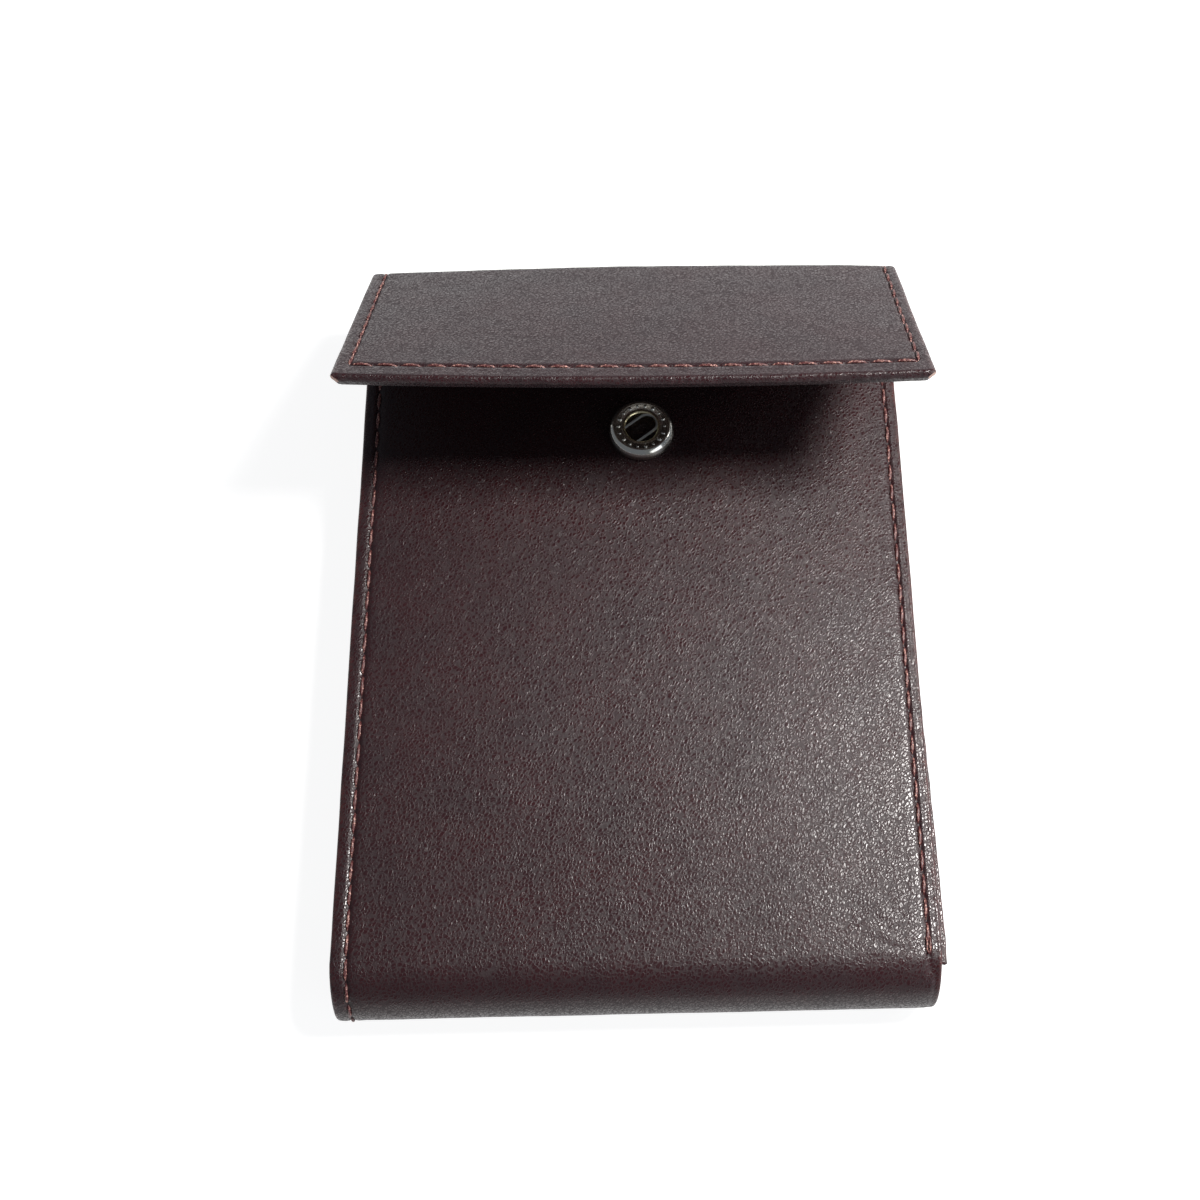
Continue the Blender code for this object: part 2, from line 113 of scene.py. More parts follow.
LEATHER = 0.8 * MM
BODY_HEM = 1.0 * MM
MOUTH_HEM = 1.75 * MM
FLAP_HEM = 1.9 * MM
FLAP_RIM = 1.2 * MM
HEM_LIP = 1.2 * MM
HEM_STEP = 0.25 * MM
EDGE_ROUNDING = 0.55 * MM
SIDE_ROUNDING = 0.80 * MM
BODY_LINING_DEPTH = 1.8 * MM
FLAP_LINING_DEPTH = 1.55 * MM
LINING = 0.35 * MM
LINING_HALF_WIDTH = 32.5 * MM
FLAP_BOARD = 0.45 * MM
GUSSET = 0.6 * MM
FLAP_CORNER_CUT = 1.35 * MM
GUSSET_OVERHANG = 1.2 * MM

# ------------------------------------------------------------------ relief of the grain side

SNAP_SEAT_RISE = 0.14 * MM
EDGE_WOBBLE = 0.07 * MM
SEAM_REACH = 1.8 * MM
GROOVE_WIDTH = 0.34 * MM
HOLE_DEPTH, HOLE_WIDTH, HOLE_LENGTH = 0.17 * MM, 0.24 * MM, 0.26 * MM
BEAD_OFFSET, BEAD_WIDTH = 0.85 * MM, 0.42 * MM
BEAD_HEIGHT, PUCKER_HEIGHT = 0.015 * MM, 0.03 * MM
WRINKLE_HEIGHT, WRINKLE_REACH, WRINKLE_RAYS = 0.055 * MM, 16 * MM, 17
TACK_DIMPLE, TACK_DIMPLE_WIDTH = 0.30 * MM, 0.55 * MM
EDGE_VALLEY, EDGE_VALLEY_WIDTH = 0.16 * MM, 0.35 * MM
END_CREASE = 0.11 * MM

OUTER, INNER = 0, 1

# Mesh lines, in millimetres from an edge, from a seam and from a needle hole.
EDGE_STEPS = [0, 0.03, 0.09, 0.18, 0.3, 0.45, 0.65, 0.9, 1.2, 1.45]
SEAM_STEPS = [-0.7, -0.45, -0.3, -0.15, 0, 0.15, 0.3, 0.45, 0.7]
HOLE_STEPS = [-0.2, 0, 0.2]


class BentLine:
    """A flat line of straights and even bends, read by the distance along it."""

    def __init__(self, start, heading_deg, runs):
        self.runs = []
        self.length = 0.0
        point, heading = Vector(start), math.radians(heading_deg)
        for length, turn_deg in runs:
            run = (self.length, point, heading, math.radians(turn_deg) / length)
            self.runs.append(run)
            point, heading = self.step(run, length)
            self.length += length

    @staticmethod
    def step(run, distance):
        """The point and the heading at a distance into one run."""
        _, point, heading, rate = run
        if not rate:
            return point + distance * Vector((math.cos(heading), math.sin(heading))), heading
        turned = heading + rate * distance
        chord = (
            math.sin(turned) - math.sin(heading),
            math.cos(heading) - math.cos(turned),
        )
        return point + Vector(chord) / rate, turned

    def at(self, distance):
        """The point there, and the unit normal on the line's right-hand side."""
        run = self.runs[0]
        for later in self.runs[1:]:
            if later[0] <= distance:
                run = later
        point, heading = self.step(run, distance - run[0])
        return point, Vector((math.sin(heading), -math.cos(heading)))


def arc(radius, turn_deg):
    return radius * math.radians(turn_deg), turn_deg


STRIP_RUNS = [
    (MOUTH_Y - BOTTOM_CENTRE_Y, 0),
    arc(BOTTOM_RADIUS, 180),
    (LOWER_AXIS.y - BOTTOM_CENTRE_Y, 0),
    arc(FOLD_RADIUS, 90),
    (UPPER_AXIS.z - LOWER_AXIS.z, 0),
    arc(FOLD_RADIUS, FLAP_TURN),
    (FLAP_REACH, 0),
]
STRIP = BentLine((MOUTH_Y, THICKNESS), 180, STRIP_RUNS)
S_FOLD, S_UNDER, S_LOWER, S_SPINE, S_CREASE, S_FLAP = (run[0] for run in STRIP.runs[1:])
S_END = STRIP.length
S_SPLIT = (S_SPINE + S_CREASE) / 2

# ------------------------------------------------------------------ settings a user would change


class LeatherSettings(bpy.types.PropertyGroup):
    colour: bpy.props.FloatVectorProperty(
        name="Colour", description="Colour of the leather's grain side",
        subtype="COLOR", size=3, min=0, max=1, default=(0.0175, 0.0046, 0.0060),
    )
    # Painted shade: a darker colour laid into the grain's creases.
    crease_shade_colour: bpy.props.FloatVectorProperty(
        name="Crease Colour", description="Colour in the grain's creases",
        subtype="COLOR", size=3, min=0, max=1, default=(0.0085, 0.0028, 0.0040),
    )
    raw_colour: bpy.props.FloatVectorProperty(
        name="Cut Colour", description="Colour of the leather where it is cut",
        subtype="COLOR", size=3, min=0, max=1, default=(0.66, 0.44, 0.37),
    )
    roughness: bpy.props.FloatProperty(
        name="Roughness", description="How matt the finish is", min=0, max=1, default=0.23,
    )
    grain_size: bpy.props.FloatProperty(
        name="Grain Size", description="Width of one pebble of the grain",
        subtype="DISTANCE", unit="LENGTH", min=0.0001, max=0.003, default=0.00035,
    )
    grain_depth: bpy.props.FloatProperty(
        name="Grain Depth", description="Height of the grain over its creases",
        subtype="DISTANCE", unit="LENGTH", min=0, max=0.001, default=0.000032,
    )
    front_bulge: bpy.props.FloatProperty(
        name="Front Bulge", description="How far the front swells in the middle",
        subtype="DISTANCE", unit="LENGTH", min=0, max=0.002, default=0.00040,
    )
    crease_crown: bpy.props.FloatProperty(
        name="Crease Crown", description="How far the flap's fold is arched in the middle",
        subtype="DISTANCE", unit="LENGTH", min=0, max=0.002, default=0.00050,
    )
    edge_sag: bpy.props.FloatProperty(
        name="Edge Sag", description="How far the flap's free edge sags in the middle",
        subtype="DISTANCE", unit="LENGTH", min=0, max=0.002, default=0.00075,
    )
    bottom_skew: bpy.props.FloatProperty(
        name="Bottom Skew", description="How far the bottom fold runs out of square at each side",
        subtype="DISTANCE", unit="LENGTH", min=0, max=0.002, default=0.00070,
    )
    crease_shift: bpy.props.FloatProperty(
        name="Crease Shift", description="How far the flap's fold sits to the right",
        subtype="DISTANCE", unit="LENGTH", min=0, max=0.002, default=0.00060,
    )
    crease_tilt: bpy.props.FloatProperty(
        name="Crease Tilt", description="How far the flap's fold sits back at its right end",
        subtype="DISTANCE", unit="LENGTH", min=0, max=0.002, default=0.00085,
    )
    flap_flare: bpy.props.FloatProperty(
        name="Flap Flare", description="How far the flap widens to each side at its free edge",
        subtype="DISTANCE", unit="LENGTH", min=0, max=0.001, default=0.00012,
    )
    fold_taper: bpy.props.FloatProperty(
        name="Fold Taper", description="How far the bottom fold is drawn in at each side",
        subtype="DISTANCE", unit="LENGTH", min=0, max=0.001, default=0.00035,
    )


class SeamSettings(bpy.types.PropertyGroup):
    colour: bpy.props.FloatVectorProperty(
        name="Colour", description="Colour of the thread in its hollows",
        subtype="COLOR", size=3, min=0, max=1, default=(0.060, 0.011, 0.012),
    )
    # Painted highlight: a pale colour put on the tops of the thread's plies.
    ply_highlight_colour: bpy.props.FloatVectorProperty(
        name="Fibre Colour", description="Colour of the thread's raised fibres",
        subtype="COLOR", size=3, min=0, max=1, default=(0.60, 0.33, 0.27),
    )
    pitch: bpy.props.FloatProperty(
        name="Pitch", description="Distance between needle holes",
        subtype="DISTANCE", unit="LENGTH", min=0.001, max=0.006, default=0.00305,
    )
    width: bpy.props.FloatProperty(
        name="Thread Width", description="Width of a stitch",
        subtype="DISTANCE", unit="LENGTH", min=0.0002, max=0.002, default=0.00041,
    )
    groove: bpy.props.FloatProperty(
        name="Groove Depth", description="How deep the thread pulls into the leather",
        subtype="DISTANCE", unit="LENGTH", min=0, max=0.0005, default=0.00017,
    )


class TrimSettings(bpy.types.PropertyGroup):
    lining_colour: bpy.props.FloatVectorProperty(
        name="Lining Colour", description="Colour of the lining cloth",
        subtype="COLOR", size=3, min=0, max=1, default=(0.045, 0.026, 0.022),
    )
    nickel_colour: bpy.props.FloatVectorProperty(
        name="Nickel Colour", description="Colour of the snap's plating",
        subtype="COLOR", size=3, min=0, max=1, default=(0.70, 0.685, 0.65),
    )
    brass_colour: bpy.props.FloatVectorProperty(
        name="Brass Colour", description="Colour of the snap's bare metal",
        subtype="COLOR", size=3, min=0, max=1, default=(0.80, 0.70, 0.42),
    )
    ring_dots: bpy.props.IntProperty(
        name="Ring Dots", description="Number of raised dots round the snap's face",
        min=0, max=40, default=18,
    )


class StageSettings(bpy.types.PropertyGroup):
    floor_colour: bpy.props.FloatVectorProperty(
        name="Floor Colour", description="Colour of the floor",
        subtype="COLOR", size=3, min=0, max=1, default=(0.86, 0.86, 0.86),
    )
    key_power: bpy.props.FloatProperty(
        name="Key Light", description="Power of the small light over the right side",
        unit="POWER", min=0, max=100, default=1.75,
    )
    sky: bpy.props.FloatProperty(
        name="Room Light", description="Brightness of the room around the case",
        min=0, max=4, default=0.18,
    )


class CaseSettings(bpy.types.PropertyGroup):
    leather: bpy.props.PointerProperty(type=LeatherSettings)
    seams: bpy.props.PointerProperty(type=SeamSettings)
    trim: bpy.props.PointerProperty(type=TrimSettings)
    stage: bpy.props.PointerProperty(type=StageSettings)


def settings():
    return bpy.context.scene.card_case


# ------------------------------------------------------------------ shape of the strip


def ease(value, low, high):
    """0 below low, 1 above high and a smooth rise between them."""
    t = min(max((value - low) / (high - low), 0.0), 1.0)
    return t * t * (3 - 2 * t)


def bell(offset, width):
    return math.exp(-((offset / width) ** 2))


def ripple(seed, x, y, wavelength):
    """Smooth noise from about -1 to 1 over a surface."""
    return noise.noise(Vector((x / wavelength, y / wavelength, seed)))


def roundness(distance, radius=EDGE_ROUNDING):
    """0 at an edge and 1 from a rounding radius inwards, on a full rounded curve."""
    share = 1 - min(max(distance / radius, 0.0), 1.0)
    return (1 - share ** 2.6) ** (1 / 2.6)


def across_share(x):
    """1 on the middle line and 0 at both edges."""
    return max(0.0, 1 - (x / HALF_WIDTH) ** 2)


def flap_bow(x, s):
    """The flap's arch at its fold and its sag at the free edge."""
    leather = settings().leather
    along = min(max((s - S_FLAP) / FLAP_REACH, 0.0), 1.0)
    rise = ease(s, S_SPINE, S_CREASE)
    crown = leather.crease_crown * rise * (1 - along) ** 2
    return across_share(x) * (crown - leather.edge_sag * along ** 2)


def front_swell(x, s):
    """The front's swell over the pocket, pressed down round the snap."""
    if s >= S_FOLD:
        return 0.0
    along = math.sin(math.pi * min(max(s / S_FOLD, 0.0), 1.0)) ** 0.8
    swell = settings().leather.front_bulge * across_share(x) ** 0.8 * along
    distance = math.hypot(x - SNAP.x, MOUTH_Y - s - SNAP.y)
    held_down = 1 - ease(distance, SNAP_RADIUS - 0.4 * MM, SNAP_RADIUS + 5.5 * MM)
    return swell * (1 - held_down) + SNAP_SEAT_RISE * held_down


def strip_point(x, s, depth):
    """A place on the strip: across it, along it and under its outer face.

    The bent line is drawn in the Y-Z plane, so its x is the world's Y and its y the world's Z.
    """
    point, normal = STRIP.at(s)
    leather = settings().leather
    side = x / HALF_WIDTH
    place = point - normal * (depth - flap_bow(x, s))
    if s < S_CREASE:
        place.x += leather.bottom_skew * side * (TOP_Y - place.x) / LENGTH
    along = min(max((s - S_FLAP) / FLAP_REACH, 0.0), 1.0)
    place.x += leather.crease_tilt * (1 + side) / 2 * ease(s, S_LOWER, S_SPINE) * (1 - along)
    shift = leather.crease_shift * ease(s, S_SPINE, S_CREASE) * (1 - along)
    shift += side * leather.flap_flare * along
    if S_FOLD < s < S_UNDER:
        shift -= side * leather.fold_taper * math.sin(math.pi * (s - S_FOLD) / (S_UNDER - S_FOLD))
    wobble = EDGE_WOBBLE * side ** 3 * ripple(1.5 + side, 0, s, 7 * MM)
    return Vector((x + shift + wobble, place.x, place.y))


def stitch_pitch():
    """The pitch that fits a whole number of stitches from the mouth to the flap's end seam."""
    length = S_END - END_SEAM_MARGIN - FIRST_HOLE
    return length / round(length / settings().seams.pitch)


FIRST_HOLE = MOUTH_Y - FRONT_SEAM_TOP_Y
TACK_S = MOUTH_Y - RIGHT_SEAM_LOW_Y + 0.9 * MM


def hole_stations(low, high):
    """The needle holes along the strip between two distances."""
    pitch = stitch_pitch()
    first = max(0, math.ceil((low - FIRST_HOLE) / pitch - 0.001))
    last = math.floor((min(high, S_END - END_SEAM_MARGIN) - FIRST_HOLE) / pitch + 0.001)
    return [FIRST_HOLE + pitch * k for k in range(first, last + 1)]


def end_holes():
    """The needle holes across the flap's end seam."""
    count = round((RIGHT_SEAM - LEFT_SEAM) / settings().seams.pitch)
    return [LEFT_SEAM + (RIGHT_SEAM - LEFT_SEAM) * k / count for k in range(count + 1)]


def seam_relief(off, along, present):
    """How a seam shapes the leather beside it: a groove, its needle holes and a puckered bead."""
    if abs(off) > SEAM_REACH or present <= 0:
        return 0.0
    pitch = stitch_pitch()
    from_hole = (along + pitch / 2) % pitch - pitch / 2
    groove = settings().seams.groove * bell(off, GROOVE_WIDTH)
    hole = HOLE_DEPTH * bell(off, HOLE_WIDTH) * bell(from_hole, HOLE_LENGTH)
    pucker = 0.5 - 0.5 * math.cos(2 * math.pi * from_hole / pitch)
    bead = (BEAD_HEIGHT + PUCKER_HEIGHT * pucker) * bell(abs(off) - BEAD_OFFSET, BEAD_WIDTH)
    return present * (bead - groove - hole)


def tack_wrinkles(x, s):
    """Wrinkles that fan out to the left of the back-tack at the right seam's foot."""
    dx, ds = RIGHT_SEAM - x, TACK_S - s
    distance = math.hypot(dx, ds)
    if distance > WRINKLE_REACH or dx < 0:
        return 0.0
    angle = math.atan2(ds, dx)
    fan = math.sin(WRINKLE_RAYS * angle + 2.2 * ripple(7, x, s, 5 * MM))
    reach = ease(distance, 0.5 * MM, 2.0 * MM) * bell(distance, 8 * MM)
    return WRINKLE_HEIGHT * fan * reach * (1 - ease(abs(angle - 0.35), 0.75, 1.5))


def grain_side_relief(x, s):
    """All that stands out of or sinks into the leather's outer face."""
    left_there = 1.0 if s > FIRST_HOLE - 0.5 * MM else 0.0
    right_there = left_there * (1 - ease(s, TACK_S, TACK_S + MM) + ease(s, S_UNDER, S_UNDER + MM))
    out = seam_relief(x - LEFT_SEAM, s - FIRST_HOLE, left_there if s < end_seam_s() else 0.0)
    beside = x - RIGHT_SEAM
    dimple = bell(beside - 0.3 * MM, TACK_DIMPLE_WIDTH) * bell(s - TACK_S - 1.5 * MM, MM)
    valley = bell(beside - MM, EDGE_VALLEY_WIDTH) * (1 - ease(s, S_FOLD, S_UNDER))
    out -= TACK_DIMPLE * dimple + EDGE_VALLEY * valley
    out += seam_relief(beside, s - FIRST_HOLE, right_there if s < end_seam_s() else 0.0)
    if s > S_FLAP and LEFT_SEAM < x < RIGHT_SEAM:
        count = round((RIGHT_SEAM - LEFT_SEAM) / settings().seams.pitch)
        scale = stitch_pitch() * count / (RIGHT_SEAM - LEFT_SEAM)
        out += seam_relief(s - end_seam_s(), (x - LEFT_SEAM) * scale, 1.0)
    soft = 0.055 * ripple(3, x, s, 11 * MM) + 0.03 * ripple(4, x, s, 4 * MM)
    if S_UNDER < s < S_LOWER:
        return out - abs(soft) * MM
    return out + soft * MM + tack_wrinkles(x, s)


def end_seam_s():
    return S_END - END_SEAM_MARGIN


def hem_thickness(x, s):
    """How thick the leather is at its turned edge."""
    if s < HEM_LIP + HEM_STEP:
        inside = 1 - ease(abs(x), LINING_HALF_WIDTH - 0.4 * MM, LINING_HALF_WIDTH + 0.2 * MM)
        return BODY_HEM + (MOUTH_HEM - BODY_HEM) * inside
    inwards = ease(min(HALF_WIDTH - abs(x), S_END - s), 0.3 * MM, HEM_LIP)
    flap_hem = FLAP_RIM + (FLAP_HEM - FLAP_RIM) * inwards
    return BODY_HEM + (flap_hem - BODY_HEM) * ease(s, S_SPINE, S_FLAP)


def leather_depth(x, s, face):
    """How deep the leather's grain side or flesh side lies, with turned and rounded edges."""
    side = HALF_WIDTH - abs(x)
    end = min(s, S_END - s)
    full = roundness(side, SIDE_ROUNDING) * roundness(end)
    hem = hem_thickness(x, s)
    if face == OUTER:
        return hem / 2 * (1 - full) - (front_swell(x, s) + grain_side_relief(x, s)) * full
    turned = 1 - ease(min(side, end), HEM_LIP, HEM_LIP + HEM_STEP)
    thick = LEATHER + (hem - LEATHER) * turned
    return hem / 2 + (thick - front_swell(x, s) * (1 - turned) - hem / 2) * full


def flap_surface(x, s, depth):
    """A place on the flap's leather, with fine creases across its turned end."""
    crease = ripple(51, x + 0.7 * depth, 0.6 * depth, 0.55 * MM) + ripple(52, x, depth, 1.6 * MM)
    at_end = ease(s, S_END - 0.35 * MM, S_END - 0.1 * MM)
    return strip_point(x, s + END_CREASE * crease * at_end, depth)


# ------------------------------------------------------------------ mesh helpers


def stations(fixed, limit):
    """The fixed stations in order, with even ones between those further apart than limit."""
    ordered = []
    for stop in sorted(fixed):
        if not ordered or stop - ordered[-1] > 0.02 * MM:
            ordered.append(stop)
    made = []
    for low, high in zip(ordered, ordered[1:]):
        parts = max(1, math.ceil((high - low) / limit((low + high) / 2) - 0.001))
        made += [low + (high - low) * part / parts for part in range(parts)]
    return made + [ordered[-1]]


def sheet_mesh(across, along, depth_of, surface):
    """A closed sheet: an outer and an inner grid that meet at their edges.

    depth_of(x, s, face) is how deep a point lies and surface(x, s, depth) where it is. A point also
    keeps x, s and its depth for the materials, and how near it is to the sheet's side edges.
    """
    bm = bmesh.new()
    strip = bm.verts.layers.float_vector.new("strip")
    edge = bm.verts.layers.float.new("edge")
    columns, rows = len(across) - 1, len(along) - 1
    for face in (OUTER, INNER):
        grid = bmesh.ops.create_grid(bm, x_segments=columns, y_segments=rows, size=1)["verts"]
        for vert in grid:
            x = across[round((vert.co.x + 1) / 2 * columns)]
            s = along[round((vert.co.y + 1) / 2 * rows)]
            depth = depth_of(x, s, face)
            vert[strip] = (x, s, depth)
            vert[edge] = bell(min(x - across[0], across[-1] - x), 0.45 * MM)
            vert.co = surface(x, s, depth)
    rim = [vert for vert in bm.verts if vert.is_boundary]
    bmesh.ops.remove_doubles(bm, verts=rim, dist=0.002 * MM)
    open_edges = [e for e in bm.edges if e.is_boundary]
    if open_edges:
        filled = bmesh.ops.holes_fill(bm, edges=open_edges, sides=0)["faces"]
        for cap in filled:
            for e in cap.edges:
                e.smooth = False
    bmesh.ops.recalc_face_normals(bm, faces=bm.faces)
    return bm


def finish_piece(name, bm, materials, smooth=True):
    """Turns a bmesh into a named object at the origin."""
    for face in bm.faces:
        face.smooth = smooth
    mesh = bpy.data.meshes.new(name)
    bm.to_mesh(mesh)
    bm.free()
    for material in materials:
        mesh.materials.append(material)
    obj = bpy.data.objects.new(name, mesh)
    bpy.context.scene.collection.objects.link(obj)
    return obj


def bend_lower(obj):
    """Bakes the piece's transform into its mesh."""
    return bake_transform(obj)


def bend_upper(obj):
    """Bakes the piece's transform into its mesh."""
    end, _ = STRIP.at(S_FLAP)
    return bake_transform(obj)


# ------------------------------------------------------------------ materials


class Graph:
    """Adds nodes to a tree and joins them, from left to right."""

    def __init__(self, tree):
        self.tree = tree
        self.count = 0

    def node(self, kind, inputs=None, **properties):
        made = self.tree.nodes.new("ShaderNode" + kind)
        made.location = (180 * (self.count // 3), -220 * (self.count % 3))
        self.count += 1
        for name, value in properties.items():
            setattr(made, name, value)
        for name, value in (inputs or {}).items():
            self.feed(made.inputs[name], value)
        return made

    def feed(self, socket, value):
        if isinstance(value, bpy.types.NodeSocket):
            self.tree.links.new(value, socket)
        else:
            socket.default_value = value

    def math(self, operation, a, b=0.0):
        return self.node("Math", {0: a, 1: b}, operation=operation).outputs[0]

    def remap(self, value, low, high, to_low=0.0, to_high=1.0):
        """A smooth step of value between low and high."""
        inputs = {0: value, 1: low, 2: high, 3: to_low, 4: to_high}
        return self.node("MapRange", inputs, interpolation_type="SMOOTHSTEP").outputs[0]

    def mix(self, share, a, b):
        """Two colours mixed by a share."""
        made = self.node("Mix", data_type="RGBA")
        self.feed(made.inputs[0], share)
        self.feed(made.inputs[6], a)
        self.feed(made.inputs[7], b)
        return made.outputs[2]

    def scaled(self, vector, factor):
        return self.node("VectorMath", {0: vector, "Scale": factor}, operation="SCALE").outputs[0]

    def group(self, tree, inputs):
        made = self.node("Group", node_tree=tree)
        for name, value in inputs.items():
            self.feed(made.inputs[name], value)
        return made.outputs


def rgba(colour):
    return (colour[0], colour[1], colour[2], 1.0)


def new_group(name, inputs, outputs):
    """An empty node group with its sockets, which are (name, kind, default) and (name, kind)."""
    tree = bpy.data.node_groups.new(name, "ShaderNodeTree")
    for label, kind, default in inputs:
        socket = tree.interface.new_socket(label, in_out="INPUT", socket_type="NodeSocket" + kind)
        if default is not None:
            socket.default_value = default
    for label, kind in outputs:
        tree.interface.new_socket(label, in_out="OUTPUT", socket_type="NodeSocket" + kind)
    graph = Graph(tree)
    start = tree.nodes.new("NodeGroupInput").outputs
    end = tree.nodes.new("NodeGroupOutput").inputs
    return tree, graph, start, end


def new_material(name):
    """A material with only its Principled shader and output."""
    material = bpy.data.materials.new(name)
    material.use_nodes = True
    shader = material.node_tree.nodes["Principled BSDF"]
    return material, Graph(material.node_tree), shader


def grain_group():
    """Leather grain: slanted pebbles parted by creases, with crinkles and fine pores over them."""
    tree, graph, start, end = new_group(
        "leather_grain",
        [("Vector", "Vector", None), ("Cell", "Float", 0.5), ("Warp", "Vector", (1.2, 1.2, 1.2))],
        [("Height", "Float"), ("Crease", "Float")],
    )
    inverse = graph.math("DIVIDE", 1.0, start["Cell"])
    slanted = graph.node(
        "Mapping",
        {"Vector": start["Vector"], "Rotation": (0, 0, math.radians(40)), "Scale": (1.0, 1.55, 1.0)},
        vector_type="TEXTURE",
    ).outputs[0]
    cells = graph.scaled(slanted, inverse)
    swirl = graph.node("TexNoise", {"Vector": cells, "Scale": 0.45, "Detail": 2.0})
    centred = graph.node(
        "VectorMath", {0: swirl.outputs["Color"], 1: (0.5, 0.5, 0.5)}, operation="SUBTRACT"
    ).outputs[0]
    warped = graph.node(
        "VectorMath",
        {0: centred, 1: start["Warp"], 2: cells},
        operation="MULTIPLY_ADD",
    ).outputs[0]
    crinkle = graph.node("TexNoise", {"Vector": warped, "Scale": 1.15, "Detail": 1.0})
    pebbles = graph.node("TexVoronoi", {"Vector": warped, "Scale": 0.95}, feature="DISTANCE_TO_EDGE")
    pores = graph.node("TexNoise", {"Vector": cells, "Scale": 4.0, "Detail": 2.0})
    fold = graph.remap(crinkle.outputs["Fac"], 0.30, 0.70)
    pebble = graph.remap(pebbles.outputs["Distance"], 0.0, 0.22)
    height = graph.math("MULTIPLY", fold, 0.42)
    height = graph.math("ADD", height, graph.math("MULTIPLY", pebble, 0.52))
    height = graph.math("ADD", height, graph.math("MULTIPLY", pores.outputs["Fac"], 0.06))
    crease = graph.math("SUBTRACT", 1.0, graph.remap(pebbles.outputs["Distance"], 0.03, 0.20))
    graph.feed(end["Height"], height)
    graph.feed(end["Crease"], crease)
    return tree


def blotch_group():
    """Broad uneven patches, as in dye, polish and tarnish."""
    tree, graph, start, end = new_group(
        "uneven_patches",
        [("Vector", "Vector", None), ("Size", "Float", 6.0), ("Contrast", "Float", 0.5)],
        [("Mask", "Float")],
    )
    scale = graph.math("DIVIDE", 1.0, start["Size"])
    cloud = graph.node("TexNoise", {"Vector": start["Vector"], "Scale": scale, "Detail": 4.0})
    low = graph.math("MULTIPLY", start["Contrast"], 0.5)
    high = graph.math("SUBTRACT", 1.0, low)
    graph.feed(end["Mask"], graph.remap(cloud.outputs["Fac"], low, high))
    return tree


def scratch_group():
    """Fine wear scratches in two directions, for metal."""
    tree, graph, start, end = new_group(
        "fine_scratches",
        [("Vector", "Vector", None), ("Scale", "Float", 1.0)],
        [("Height", "Float"), ("Mask", "Float")],
    )
    marks = []
    for turn, stretch in ((0.4, (0.5, 9.0, 3.0)), (-0.9, (8.0, 0.6, 3.0))):
        lined = graph.node(
            "Mapping", {"Vector": start["Vector"], "Rotation": (0, 0, turn), "Scale": stretch}
        ).outputs[0]
        streak = graph.node("TexNoise", {"Vector": lined, "Scale": start["Scale"], "Detail": 3.0})
        marks.append(graph.remap(streak.outputs["Fac"], 0.56, 0.72))
    both = graph.math("MAXIMUM", marks[0], marks[1])
    graph.feed(end["Mask"], both)
    graph.feed(end["Height"], graph.math("SUBTRACT", 1.0, both))
    return tree


def weave_group():
    """A plain weave: crossed yarns that pass over and under each other, with a mask for painted shade
    in the gaps between them.
    """
    tree, graph, start, end = new_group(
        "plain_weave",
        [("Vector", "Vector", None), ("Yarn", "Float", 0.3)],
        [("Height", "Float"), ("Gap Shade", "Float")],
    )
    scaled = graph.scaled(start["Vector"], graph.math("DIVIDE", math.pi, start["Yarn"]))
    axes = graph.node("SeparateXYZ", {0: scaled}).outputs
    warp = graph.math("ABSOLUTE", graph.math("SINE", axes[0]))
    weft = graph.math("ABSOLUTE", graph.math("SINE", axes[1]))
    over = graph.math("MULTIPLY", graph.math("SINE", axes[0]), graph.math("SINE", axes[1]))
    side = graph.remap(over, -0.25, 0.25)
    warp_up = graph.math("MULTIPLY", warp, side)
    weft_up = graph.math("MULTIPLY", weft, graph.math("SUBTRACT", 1.0, side))
    height = graph.math("ADD", warp_up, weft_up)
    graph.feed(end["Height"], height)
    # Painted shade: this mask marks the low gaps between the yarns.
    graph.feed(end["Gap Shade"], graph.remap(height, 0.55, 0.1))
    return tree


def shared(name, build):
    """A node group that is built once."""
    return bpy.data.node_groups.get(name) or build()


def strip_vector(graph):
    """The place on the strip, in millimetres."""
    place = graph.node("Attribute", attribute_name="strip").outputs["Vector"]
    return graph.scaled(place, 1000.0)


def object_vector(graph):
    """The place in the object, in millimetres."""
    return graph.scaled(graph.node("TexCoord").outputs["Object"], 1000.0)


